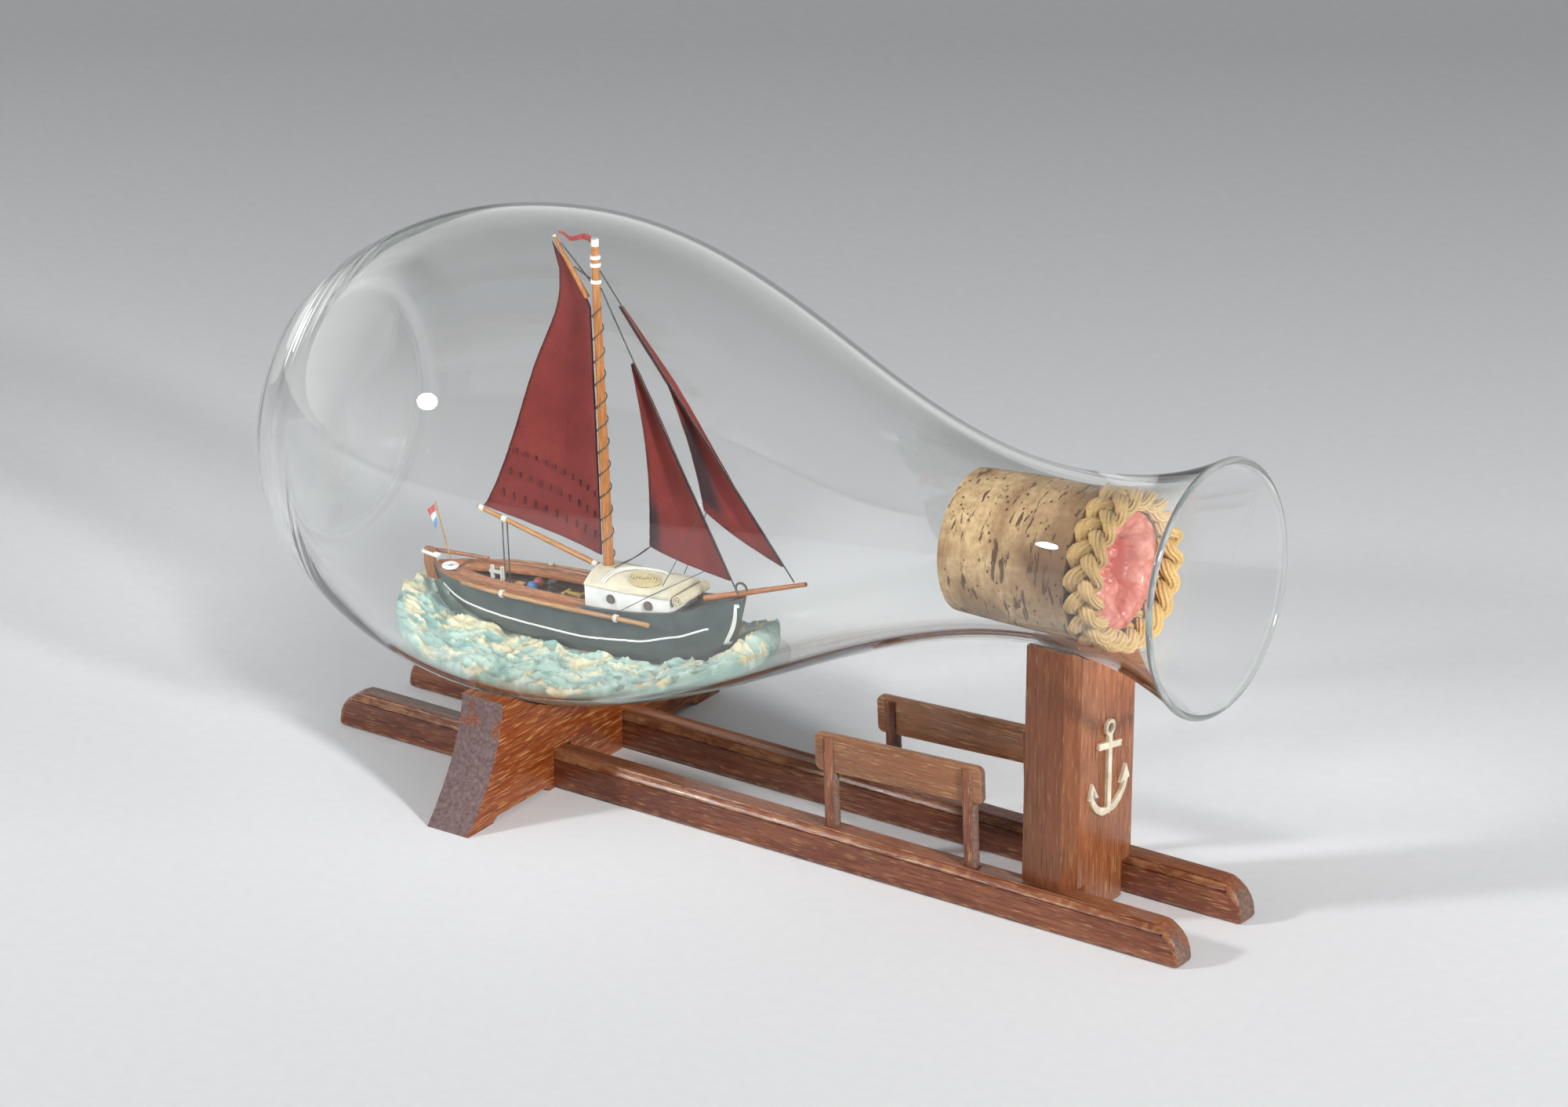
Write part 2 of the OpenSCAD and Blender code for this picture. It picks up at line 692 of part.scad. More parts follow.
// Board that runs round the well, just below the gunwale
module coaming() {
    t_board = 1.1;
    n = len(well_stops) - 1;
    turn = [for (i = [n : -1 : 0]) [-1, well_stops[i]], for (i = [0 : n]) [1, well_stops[i]]];
    function row(q, v) =
        let (
            b = stern_at + hull_len * q[1],
            out = inner_half(q[1]) * 0.975 - 0.15,
            in = max(0.9, out - coaming_w),
            ahead = 3.4 * max(0, 1 - (out - 0.9) / 7),
            h = gunwale(q[1]) - 0.5 - v
        )
        [[b + 0.1, q[0] * out, h], [b + ahead + 0.1, q[0] * in, h]];
    color("Chocolate") in_bottle() slab([for (q = turn) row(q, 0)], [for (q = turn) row(q, t_board)]);
}

// Planked cap on the bow
module foredeck() {
    ts = [fore_deck_t + 0.015, for (u = [0.3, 0.6, 0.8]) mix(fore_deck_t, 1, u)];
    rings = [
        for (t = ts)
            let (b = stern_at + hull_len * t, w = inner_half(t) * 0.95 - 0.3, v = gunwale(t) - 0.9)
            [[b, w, v], [b, w, v + 0.6], [b, -w, v + 0.6], [b, -w, v]]
    ];
    color("DarkOliveGreen") in_bottle() loft(rings);
}

strake_r = 0.7;
tie_r = 0.17;
function strake_y(t) = half_beam(min(t, 0.62)) * 0.99 + strake_r + 2 * tie_r + 2 * fit;
function strake_point(side, t) = [stern_at + hull_len * t, side * strake_y(t), gunwale(min(t, 0.62)) - 0.9];

module rubbing_strake(side) {
    color("Peru") in_bottle() tube([for (t = [0.15 : 0.0625 : 0.78]) strake_point(side, t)], strake_r, 8);
}

module near_rubbing_strake() {
    rubbing_strake(-1);
}

module far_rubbing_strake() {
    rubbing_strake(1);
}

// Lashings round the strakes
module strake_ties() {
    color("White") in_bottle() for (s = [-1, 1], t = [0.3, 0.67]) translate(strake_point(s, t))
        rotate([0, 90, 0]) rotate_extrude() translate([strake_r + fit + tie_r, 0]) circle(tie_r);
}

// The cabin

// The cabin's sides run straight, then draw in towards the bow with the hull
cabin_bend = mast_at + 0.106 * hull_len;
cabin_fore_half = min(cabin_w / 2, inner_half(hull_t(cabin_fore)) * 0.96 - 0.5);
cabin_turn = atan((cabin_w / 2 - cabin_fore_half) / (cabin_fore - cabin_bend));

module cabin_plan(grow) {
    a = cabin_aft;
    f = cabin_fore + grow;
    w = cabin_w / 2 + grow;
    n = cabin_fore_half + grow;
    polygon([[a, -w], [cabin_bend, -w], [f, -n], [f, n], [cabin_bend, w], [a, w]]);
}

module cabin() {
    color("WhiteSmoke") in_bottle() difference() {
        translate([0, 0, deck_v + fit]) linear_extrude(cabin_h - fit) cabin_plan(0);
        translate([mast_at, 0, deck_v - 1]) cylinder(h = cabin_h + 2, r = mast_r + fit);
    }
}

roof_half = cabin_w / 2 + 0.5;
roof_r = (roof_half ^ 2 + roof_crown ^ 2) / (2 * roof_crown);
function roof_height(y) = cabin_v + fit + roof_crown - roof_r + sqrt(roof_r ^ 2 - y ^ 2);

module cabin_roof() {
    color("Cornsilk") in_bottle() difference() {
        intersection() {
            translate([cabin_aft + cabin_len / 2, 0, cabin_v + fit]) across(cabin_len + 4)
                translate([0, roof_crown - roof_r]) circle(roof_r, $fn = 96);
            translate([0, 0, cabin_v + fit]) linear_extrude(roof_crown + 1) cabin_plan(0.4);
        }
        translate([mast_at, 0, cabin_v - 1]) cylinder(h = roof_crown + 3, r = mast_r + fit);
    }
}

module porthole() {
    rotate([-90, 0, 0]) cylinder(h = 0.5, r = 1.1);
}

module portholes() {
    aft = mast_at + 0.06 * hull_len;
    fore = mast_at + 0.174 * hull_len;
    v = deck_v + cabin_h * 0.72;
    fore_y = mix(cabin_w / 2, cabin_fore_half, (fore - cabin_bend) / (cabin_fore - cabin_bend));
    color("Gray") in_bottle() for (s = [0, 1]) mirror([0, s, 0]) {
        translate([aft, cabin_w / 2 + fit, v]) porthole();
        translate([fore, fore_y + fit, v]) rotate([0, 0, -cabin_turn]) porthole();
    }
}

// Oval mat of coiled line on the near half of the roof
module roof_mat() {
    mid = mast_at + 0.142 * hull_len;
    y_mid = -cabin_w * 0.24;
    lean = asin(-y_mid / roof_r);
    ring = [for (a = [0 : 15 : 345]) [0.056 * hull_len * cos(a), 0.2 * cabin_w * sin(a)]];
    color("Khaki") in_bottle() translate([mid, y_mid, roof_height(y_mid) + 0.12]) rotate([lean, 0, 0])
        linear_extrude(0.8) polygon(ring);
}

// Rolled cover lying across the fore end of the cabin
module bow_roll() {
    r = 0.02 * hull_len;
    at = cabin_fore + 0.6 + r;
    l = 1.57 * half_beam(hull_t(at));
    color("Wheat") in_bottle() translate([at, 0, gunwale(hull_t(at + r)) + r + 0.1])
        rotate([90, 0, 0]) cylinder(h = l, r = r, center = true);
}

// Spars

module mast() {
    color("Goldenrod") in_bottle() translate([mast_at, 0, deck_v + fit])
        cylinder(h = mast_top - deck_v - fit, r1 = mast_r, r2 = mast_top_r);
}

function mast_r_at(v) = mix(mast_r, mast_top_r, (v - deck_v) / (mast_top - deck_v));

module mast_bands() {
    h = 0.9;
    color("White") in_bottle() for (drop = [5, 7, 11.4]) translate([mast_at, 0, mast_top - drop]) difference() {
        cylinder(h = h, r = mast_r_at(mast_top - drop) + 0.35);
        translate([0, 0, -1]) cylinder(h = h + 2, r = mast_r_at(mast_top - drop) + fit);
    }
}

// Lacing of the mainsail, one thread wound round the mast
lacing_foot = boom_v + 3.4;
lacing_head = throat_v - 2;
lacing_rings = lacing_turns * 12;
lacing_r = mast_r + line_r + 0.1;
lacing_path = [
    for (i = [0 : lacing_rings])
        let (a = 360 * lacing_turns * i / lacing_rings)
        [mast_at + lacing_r * cos(a), lacing_r * sin(a), mix(lacing_foot, lacing_head, i / lacing_rings)]
];
echo("least gap of the mast lacing to itself", (lacing_head - lacing_foot) / lacing_turns - line_d);

module mast_lacing() {
    color("DimGray") in_bottle() tube(lacing_path, line_r, 6);
}

boom_fore = [cabin_aft - 0.3 - spar_r * 0.5, 0, boom_v];
boom_aft = boom_fore + [-sqrt(boom_len ^ 2 - boom_rise ^ 2), 0, boom_rise];
function on_boom(t) = mix(boom_fore, boom_aft, t);

module boom() {
    color("Goldenrod") in_bottle() rod(boom_fore, boom_aft, spar_r, spar_r * 0.8);
}

gaff_throat = [mast_at - mast_r - spar_r - 0.6, 0, throat_v];
gaff_peak = [mast_at - gaff_reach - mast_r, 0, peak_v];
function on_gaff(t) = mix(gaff_throat, gaff_peak, t);

module gaff() {
    color("Goldenrod") in_bottle() rod(gaff_throat, gaff_peak, spar_r * 0.9, spar_r * 0.6);
}

sprit_slope = 0.31;
sprit_rest = stem_v + 1.1;
sprit_inboard = 0.125 * hull_len;
sprit_in = [stem_at - sprit_inboard, 0, sprit_rest - sprit_inboard * sprit_slope];
sprit_tip = [stem_at + bowsprit_out, 0, sprit_rest + bowsprit_out * sprit_slope];
function on_sprit(t) = mix(sprit_in, sprit_tip, t);

module bowsprit() {
    color("Chocolate") in_bottle() rod(sprit_in, sprit_tip, 0.9, 0.6);
}

// Sails, each a grid from the after edge to the fore edge and from the foot to the head

module sail(leech, luff, foot_round) {
    across_n = 6;
    up_n = 10;
    function place(i, j) =
        let (
            u = i / across_n, w = j / up_n,
            p = mix(leech(w), luff(w), u),
            draft = u ^ 1.4,
            belly = sail_belly * 4 * draft * (1 - draft) * sin(180 * (0.12 + 0.8 * w)),
            drop = foot_round * 4 * u * (1 - u) * (1 - w) ^ 3
        )
        p + [0, belly, -drop];
    grid = [for (i = [0 : across_n]) [for (j = [0 : up_n]) place(i, j)]];
    module_t = [0, sail_t / 2, 0];
    color("Brown") in_bottle() slab(
        [for (r = grid) [for (p = r) p + module_t]],
        [for (r = grid) [for (p = r) p - module_t]]
    );
}

luff_b = mast_at - lacing_r - line_r - 0.25;
sail_lift = spar_r + 0.35;
main_tack = [luff_b, 0, boom_v + 3.2];
main_throat = [luff_b, 0, throat_v - 2.6];
main_clew = on_boom(0.95) + [0, 0, sail_lift];
main_peak = on_gaff(0.96) - [0.9, 0, 1.2];
main_hollow = 4.6;

module mainsail() {
    sail(
        function (w) mix(main_clew, main_peak, w) + [main_hollow * (4 * w * (1 - w)) ^ 0.6, 0, 0],
        function (w) mix(main_tack, main_throat, w),
        0
    );
}

fore_drop = 12.5;
fore_top = [mast_at + mast_r_at(mast_top - fore_drop) + line_r + 0.1, 0, mast_top - fore_drop];
fore_foot = on_sprit(0.31) + [0, 0, 1.25];
function on_forestay(t) = mix(fore_top, fore_foot, t);
stay_room = [-0.6, 0, -0.1];
stay_head = on_forestay(0.25) + stay_room;
stay_tack = on_forestay(0.97) + stay_room;
stay_clew = stay_tack - [0.252 * hull_len, 0, -5];

module staysail() {
    sail(
        function (w) mix(stay_clew, stay_head - [0.5, 0, 0.2], w) + [2 * sin(180 * w), 0, 0],
        function (w) mix(stay_tack, stay_head, w),
        1.2
    );
}

jib_drop = 8;
jib_top = [mast_at + mast_r_at(mast_top - jib_drop) + line_r + 0.1, 0, mast_top - jib_drop];
jib_foot = on_sprit(0.885) + [0, 0, 1];
function on_jib_stay(t) = mix(jib_top, jib_foot, t);
jib_head = on_jib_stay(0.12) + stay_room;
jib_tack = on_jib_stay(0.95) + stay_room;
jib_clew = jib_tack - [0.24 * hull_len, 0, -11.2];

module jib() {
    sail(
        function (w) mix(jib_clew, jib_head - [0.5, 0, 0.2], w) + [1.4 * sin(180 * w), 0, 0],
        function (w) mix(jib_tack, jib_head, w),
        1.6
    );
}

module pennant() {
    n = 8;
    l = gaff_reach - 1;
    v = mast_top - 0.3;
    b = mast_at - mast_top_r - 0.1;
    function flow(i) = 0.5 * sin(360 * 1.25 * i / n);
    upper = [for (i = [0 : n]) [b - l * i / n, v + flow(i) + mix(0.8, 0.25, i / n)]];
    lower = [for (i = [n : -1 : 0]) [b - l * i / n, v + flow(i) - mix(0.8, 0.25, i / n)]];
    color("Crimson") in_bottle() upright(sail_t) polygon(concat(upper, lower));
}

// Stern gear

staff_foot = [stern_at + 5.4, 0, gunwale(0.045) - 0.7];
staff_top = [stern_at + 0.9, 0, gunwale(0) + 17.2];

module flagstaff() {
    color("Peru") in_bottle() rod(staff_foot, staff_top, 0.45, 0.3);
}

module ensign() {
    hoist = mix(staff_top, staff_foot, 0.04);
    fly = mix(staff_top, staff_foot, 0.2);
    room = 0.55;
    color("Tomato") in_bottle() upright(sail_t) polygon([
        [hoist[0] - room, hoist[2]], [hoist[0] - room - 2.4, hoist[2] - 2.2],
        [fly[0] - room - 0.9, fly[2] - 4.6], [fly[0] - room, fly[2] - 2.4]
    ]);
}

rudder_v = bed + stern_swell + wave_h - 0.4;
module rudder() {
    color("Sienna") in_bottle() upright(1.4) polygon([
        [stern_at - 0.4, gunwale(0) + 3.6], [stern_at - 3.2, gunwale(0) + 3.6], [stern_at - 3.6, gunwale(0) - 1],
        [stern_at - 2.6, rudder_v], [stern_at + 0.8, rudder_v], [stern_at - 0.4, gunwale(0) - 1]
    ]);
}

module tiller() {
    head = [stern_at - 0.3, 0, gunwale(0) + 2.4];
    color("Sienna") in_bottle() rod(head + [0.05, 1.8, 0], head + [0.16 * hull_len, 2.7, 0.4], 0.6, 0.45);
    color("Sienna") in_bottle() rod(head + [-1.6, 1.3, 0], head + [0.4, 1.9, 0], 0.55);
}

// Rigging, each line held at both ends

module line(p, q) {
    color("DimGray") in_bottle() rod(p, q, line_r);
}

module forestay() {
    line(fore_top, fore_foot);
}

module jib_stay() {
    line(jib_top, jib_foot);
}

module peak_halyards() {
    hang = spar_r * 0.9 + line_r + 0.1;
    for (t = [0.5, 0.88], drop = [9.6]) {
        v = mast_top - drop - 2.2 * t;
        line(on_gaff(t) + [hang, 0, 0.2], [mast_at - mast_r_at(v) - line_r - 0.1, 0, v]);
    }
}

sheet_b = on_boom(0.78);
module mainsheet() {
    for (y = [-0.45, 0.45]) line([sheet_b[0] + y, y, plank_v + fit], sheet_b + [y, y, -spar_r - 0.12]);
}

module staysail_sheets() {
    for (s = [-1, 1]) line(
        stay_clew + [-0.4, s * 0.6, -0.6], [mast_at + 3, s * 1.6, roof_height(1.6) + line_r + 0.15]
    );
}

module jib_sheets() {
    for (s = [-1, 1]) line(
        jib_clew + [-0.3, s * 1.6, -0.6], [cabin_fore - 3, s * 5, roof_height(5) + line_r + 0.25]
    );
}

// Line from the staysail's foot over the edge of the cabin roof to the near strake
module foresheet() {
    hold = mix(stay_clew, stay_tack, 0.67) + [0, 0.4, -0.75];
    bend = [mast_at + 0.187 * hull_len, -cabin_w / 2 - 0.2, cabin_v + 0.7];
    tie = strake_point(-1, 0.67) + [0, 0, strake_r + line_r + 2 * tie_r + 2 * fit];
    color("DimGray") in_bottle() tube([hold, bend, tie], line_r, 8);
}

// Small gear

module bow_anchor() {
    r = 1.7;
    at = on_sprit(0.4) + [0, -1.7, 1.6];
    color("DimGray") in_bottle() translate(at) rotate([90, 0, 0]) {
        rotate_extrude(angle = 230) translate([r, 0]) circle(0.32);
        translate([r, 0, 0]) sphere(0.32);
        rotate(230) translate([r, 0, 0]) sphere(0.32);
    }
}

module life_ring() {
    color("White") in_bottle() translate([stern_at + 0.07 * hull_len, -3, gunwale(0.045) + 0.75])
        rotate_extrude() translate([1.7, 0]) circle(0.6);
}

module mooring_bitts() {
    at = [stern_at + hull_len * 0.19, 1.7, plank_v + fit];
    color("White") in_bottle() translate(at) {
        for (x = [-1.6, 1.6]) translate([x, 0, 0]) cylinder(h = 3.6, r = 0.55);
        translate([-2.4, -0.4, 1.6]) cube([4.8, 0.8, 0.8]);
    }
}

module deck_block() {
    color("Tan") in_bottle() translate([stern_at + hull_len * 0.275, -2.4, plank_v + fit]) cube([2.6, 2, 1.8]);
}

module deck_floats() {
    r = 1.4;
    at = stern_at + hull_len * 0.325;
    color("SteelBlue") in_bottle() {
        translate([at, -1.2, plank_v + fit + r]) sphere(r);
        translate([at - 0.2, 1.9, plank_v + fit + r]) sphere(r);
    }
}

module deck_winch() {
    color("DarkSlateGray") in_bottle() translate([stern_at + hull_len * 0.37, 1.8, plank_v + fit]) {
        cylinder(h = 1.2, r = 1.3);
        cylinder(h = 2.6, r = 0.7);
        translate([0, 0, 2.2]) cylinder(h = 0.6, r = 1.2);
    }
}

module deck_anchor() {
    h = 0.6;
    color("Gold") in_bottle() translate([stern_at + hull_len * 0.435, 2.2, plank_v + fit]) linear_extrude(h) {
        square([5.6, 0.8], center = true);
        translate([-2.4, 0]) square([0.8, 3.6], center = true);
        translate([2.4, 0]) square([0.8, 2.4], center = true);
    }
}

bottle();
cork();
rope_ring();
sealing_wax();
near_rail();
far_rail();
rear_cradle();
front_post();
near_name_board();
far_name_board();
near_board_pegs();
far_board_pegs();
anchor_badge();
sea();
hull();
deck();
coaming();
foredeck();
near_rubbing_strake();
far_rubbing_strake();
strake_ties();
cabin();
cabin_roof();
portholes();
roof_mat();
bow_roll();
mast();
mast_bands();
mast_lacing();
boom();
gaff();
bowsprit();
mainsail();
staysail();
jib();
pennant();
flagstaff();
ensign();
rudder();
tiller();
forestay();
jib_stay();
peak_halyards();
mainsheet();
staysail_sheets();
jib_sheets();
foresheet();
bow_anchor();
life_ring();
mooring_bitts();
deck_block();
deck_floats();
deck_winch();
deck_anchor();
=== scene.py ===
# %% [markdown]
# # A ship in a bottle
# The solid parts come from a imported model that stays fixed. This lesson dresses them: glass, cork,
# rope, wax, old varnished wood, painted putty and a small rigged barge. Every piece is modelled where
# the solid part is, so nothing has to be fitted by eye.

# %% Load the fixed frame
from math import cos, exp, hypot, pi, radians, sin, sqrt, tau

import bmesh
import bpy
from mathutils import Matrix, Vector
from mathutils.bvhtree import BVHTree
from mathutils.noise import noise


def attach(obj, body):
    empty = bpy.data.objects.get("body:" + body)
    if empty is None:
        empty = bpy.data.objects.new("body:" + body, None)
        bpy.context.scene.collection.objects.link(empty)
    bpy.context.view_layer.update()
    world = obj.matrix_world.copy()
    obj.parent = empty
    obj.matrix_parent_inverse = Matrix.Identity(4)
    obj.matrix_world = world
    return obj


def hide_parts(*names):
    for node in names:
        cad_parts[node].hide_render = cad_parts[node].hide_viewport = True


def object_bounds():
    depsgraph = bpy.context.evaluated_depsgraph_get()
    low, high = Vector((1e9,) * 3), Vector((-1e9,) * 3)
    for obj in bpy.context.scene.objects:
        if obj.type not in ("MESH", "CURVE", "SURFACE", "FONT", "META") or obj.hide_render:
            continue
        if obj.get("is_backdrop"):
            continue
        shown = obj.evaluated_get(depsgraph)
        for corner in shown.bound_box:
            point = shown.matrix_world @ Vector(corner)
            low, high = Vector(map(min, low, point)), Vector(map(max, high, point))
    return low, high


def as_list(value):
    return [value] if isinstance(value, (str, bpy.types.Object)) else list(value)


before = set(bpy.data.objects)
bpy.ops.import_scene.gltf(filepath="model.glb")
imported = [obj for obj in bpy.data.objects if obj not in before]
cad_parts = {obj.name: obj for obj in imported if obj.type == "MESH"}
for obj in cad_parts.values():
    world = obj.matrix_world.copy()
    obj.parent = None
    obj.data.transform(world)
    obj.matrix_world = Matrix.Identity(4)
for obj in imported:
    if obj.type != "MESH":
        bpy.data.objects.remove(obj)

cad_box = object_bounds()
MM = 0.001
print("solids in the frame:", len(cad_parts))

# %% [markdown]
# ## Camera
# The photograph was taken with a long lens from above the mouth's side. The camera could be aimed by
# hand, but here it is built from the direction it looks back along, so that one angle can change alone.
# Light runs to and fro in the glass before it comes out, so it is let bounce often enough.

# %% Camera
AZIMUTH = radians(33.89)
ELEVATION = radians(22.77)
ROLL = radians(0.47)
CAMERA_DISTANCE = 1.92968
CAMERA_TARGET = Vector((0.00689, 0.0, 0.07438))
SENSOR_WIDTH = 36.0
LENS = 172.8
BOUNCES = 64
scene = bpy.context.scene
scene.view_settings.view_transform = "Standard"

camera_data = bpy.data.cameras.new("photo_camera")
camera_data.sensor_width = SENSOR_WIDTH
camera_data.lens = LENS
camera_data.clip_start = 0.05
camera = bpy.data.objects.new("photo_camera", camera_data)
scene.collection.objects.link(camera)
scene.camera = camera

level = cos(ELEVATION)
back = Vector((sin(AZIMUTH) * level, -cos(AZIMUTH) * level, sin(ELEVATION)))
right = Vector((cos(AZIMUTH), sin(AZIMUTH), 0.0))
upward = back.cross(right)
camera_x = right * cos(ROLL) + upward * sin(ROLL)
camera_y = upward * cos(ROLL) - right * sin(ROLL)
camera_turn = Matrix((camera_x, camera_y, back)).transposed().to_4x4()
camera.matrix_world = Matrix.Translation(CAMERA_TARGET + back * CAMERA_DISTANCE) @ camera_turn
scene.cycles.max_bounces = BOUNCES
scene.cycles.glossy_bounces = BOUNCES
scene.cycles.transmission_bounces = BOUNCES
print("camera at", [round(x, 3) for x in camera.matrix_world.translation])

# %% [markdown]
# ## A short way to write finishes
# A finish is a Principled shader with a few textures in front of it. Wiring nodes one by one is long,
# so a class keeps a node tree and adds a texture, ramp or bump with one call. The surroundings use the
# plain tree, and every material adds its shader to it. A value that is the same all over goes straight
# onto the shader's own socket.

# %% Finish classes
class Tree:
    """A node tree, with short calls for what the finishes and the surroundings share."""

    def __init__(self, tree):
        self.tree = tree

    def feed(self, socket, value):
        if isinstance(value, bpy.types.NodeSocket):
            self.tree.links.new(value, socket)
        elif socket.type == "RGBA":
            socket.default_value = (*value, 1.0)
        else:
            socket.default_value = value

    def node(self, kind, inputs=(), **settings):
        """A new node with its settings, and its inputs fed by name or by number."""
        made = self.tree.nodes.new("ShaderNode" + kind)
        for name, value in settings.items():
            setattr(made, name, value)
        for key, value in dict(inputs).items():
            self.feed(made.inputs[key], value)
        return made

    def coords(self, scale=1.0, turn=(0, 0, 0)):
        scale = scale if isinstance(scale, (tuple, list)) else (scale,) * 3
        place = self.node("TexCoord").outputs["Object"]
        return self.node("Mapping", {"Vector": place, "Scale": scale, "Rotation": turn}).outputs[0]

    def attribute(self, name):
        return self.node("Attribute", attribute_name=name).outputs["Fac"]

    def noise(self, scale, detail=4.0, rough=0.55, bend=0.0, turn=(0, 0, 0)):
        return self.node("TexNoise", {
            "Vector": self.coords(scale, turn), "Scale": 1.0,
            "Detail": detail, "Roughness": rough, "Distortion": bend,
        }).outputs[0]

    def cells(self, scale):
        return self.node("TexVoronoi", {"Vector": self.coords(scale), "Scale": 1.0}).outputs["Distance"]

    def ramp(self, share, *stops):
        made = self.node("ValToRGB", {0: share})
        bands = made.color_ramp.elements
        while len(bands) < len(stops):
            bands.new(0.5)
        for band, (place, colour) in zip(bands, stops):
            band.position = place
            band.color = (*colour, 1.0)
        return made.outputs["Color"]

    def span(self, value, low, high, to_low=0.0, to_high=1.0):
        return self.node("MapRange", {0: value, 1: low, 2: high, 3: to_low, 4: to_high}).outputs[0]

    def math(self, kind, a, b):
        return self.node("Math", {0: a, 1: b}, operation=kind).outputs[0]

    def times(self, a, b):
        return self.math("MULTIPLY", a, b)

    def dot(self, vector, way):
        return self.node("VectorMath", {0: vector, 1: way}, operation="DOT_PRODUCT").outputs["Value"]

    def axis(self, vector, name):
        return self.node("SeparateXYZ", {0: vector}).outputs[name]

    def mix(self, share, a, b, blend="MIX"):
        return self.node("Mix", {0: share, 6: a, 7: b}, data_type="RGBA", blend_type=blend).outputs[2]


class Finish(Tree):
    """One material: its node tree and its shader."""

    def __init__(self, name, **plain):
        self.name = name
        self.material = bpy.data.materials.new(name)
        self.material.use_nodes = True
        super().__init__(self.material.node_tree)
        self.shader = self.tree.nodes["Principled BSDF"]
        for socket, value in plain.items():
            self.set(socket.replace("_", " "), value)

    def set(self, name, value):
        self.feed(self.shader.inputs[name], value)

    def bump(self, height, strength, depth):
        made = self.node("Bump", {"Strength": strength, "Distance": depth, "Height": height})
        self.set("Normal", made.outputs["Normal"])


def toned(colour, factor):
    return [min(1.0, c * factor) for c in colour]


print("finish classes ready")

# %% [markdown]
# ## Studio
# The object stands on a pale sheet of paper under two lamps at the sides. Light and shade are painted into
# the paper's colour: it is brightest under the object, darker towards the front and much darker behind it,
# as the fall-off of a close lamp would make it, and pale again far back. That fall-off could come from one
# close lamp, but then the glass would burn out, so it is painted into the paper, and the lamps stay at a
# plain level. The glass also sees a room: pale behind the object, dark behind the camera, with a dim
# ceiling and one pale panel at the left.

# %% Paper floor
def object_from(bm, name, finishes):
    """A new object in the scene with the bmesh as its mesh."""
    data = bpy.data.meshes.new(name)
    bm.to_mesh(data)
    bm.free()
    for finish in finishes:
        data.materials.append(finish.material)
    made = bpy.data.objects.new(name, data)
    scene.collection.objects.link(made)
    return made


paper = Finish("floor_paper", Roughness=0.9)
paper_depth = paper.dot(paper.coords(), (-sin(AZIMUTH), cos(AZIMUTH), 0.0))
# Painted light: brightest under the object, darker in front, much darker behind, pale again far back.
painted_falloff_tone = paper.ramp(
    paper.span(paper_depth, -0.42, 2.5),
    (0.0, (0.65, 0.65, 0.655)), (0.071, (0.73, 0.73, 0.735)), (0.135, (0.84, 0.84, 0.85)),
    (0.214, (0.73, 0.73, 0.735)), (0.356, (0.49, 0.49, 0.49)), (0.8, (0.8, 0.8, 0.8)),
)
paper_fleck = paper.noise(260, 3.0)
fleck_tone = paper.ramp(paper_fleck, (0.3, (0.2, 0.2, 0.2)), (0.7, (1, 1, 1)))
paper.set("Base Color", paper.mix(0.03, painted_falloff_tone, fleck_tone))
paper.bump(paper_fleck, 0.05, 0.0003)

floor_mesh = bmesh.new()
bmesh.ops.create_grid(floor_mesh, x_segments=8, y_segments=8, size=2.6)
floor = object_from(floor_mesh, "studio_floor", [paper])
floor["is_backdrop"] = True
print("floor", floor.dimensions[:])

# %% Soft boxes and surroundings
LAMP_AIM = Vector((0.0, 0.0, 0.06))
LAMP_DISTANCE = 1.7
PANEL_AZIMUTH = AZIMUTH + radians(48.0)
PANEL_WAY = Vector((-sin(PANEL_AZIMUTH), cos(PANEL_AZIMUTH), 0.06)).normalized()


def lamp_box(name, direction, size, watts, tint=(1.0, 1.0, 1.0)):
    data = bpy.data.lights.new(name, "AREA")
    data.shape = "DISK"
    data.size = size
    data.energy = watts
    data.color = tint
    lamp = bpy.data.objects.new(name, data)
    lamp.location = LAMP_AIM + Vector(direction).normalized() * LAMP_DISTANCE
    lamp.rotation_euler = (LAMP_AIM - lamp.location).to_track_quat("-Z", "Y").to_euler()
    scene.collection.objects.link(lamp)


lamp_box("right_lamp", (0.89, -0.26, 0.38), 0.17, 27.0)
lamp_box("left_lamp", (-0.59, -0.66, 0.46), 0.18, 15.0, (0.97, 0.98, 1.0))

world = bpy.data.worlds.new("studio_air")
scene.world = world
world.use_nodes = True
air = Tree(world.node_tree)
glow = air.tree.nodes["Background"]
air.feed(glow.inputs["Color"], (0.95, 0.97, 1.0))
air.feed(glow.inputs["Strength"], 0.28)
toward = air.node("TexCoord").outputs["Generated"]
room = air.ramp(air.dot(toward, back), (0.0, (0.66, 0.67, 0.665)), (0.75, (0.16, 0.16, 0.16)))
ceiling = air.ramp(air.axis(toward, "Z"), (0.1, (1.0, 1.0, 1.0)), (0.6, (0.3, 0.3, 0.3)))
panel = air.ramp(air.dot(toward, PANEL_WAY), (0.87, (0.0, 0.0, 0.0)), (0.95, (0.65, 0.68, 0.65)))
shade = air.mix(1.0, room, ceiling, "MULTIPLY")
seen = air.node("Background", {"Color": air.mix(1.0, shade, panel, "ADD")})
rays = air.node("LightPath").outputs
seeing = air.math("MAXIMUM", rays["Is Camera Ray"], rays["Is Glossy Ray"])
seeing = air.math("MAXIMUM", seeing, rays["Is Transmission Ray"])
blend = air.node("MixShader", {0: seeing, 1: glow.outputs[0], 2: seen.outputs[0]})
air.feed(air.tree.nodes["World Output"].inputs["Surface"], blend.outputs[0])

# %% [markdown]
# ## The bottle's own directions
# The bottle lies three degrees mouth-up. Everything in it is easier to think of as distance from the
# base, sideways, and height above the axis, in millimetres, so one matrix carries those three numbers
# into the frame, and the pieces are modelled upright and moved in their mesh at the end.

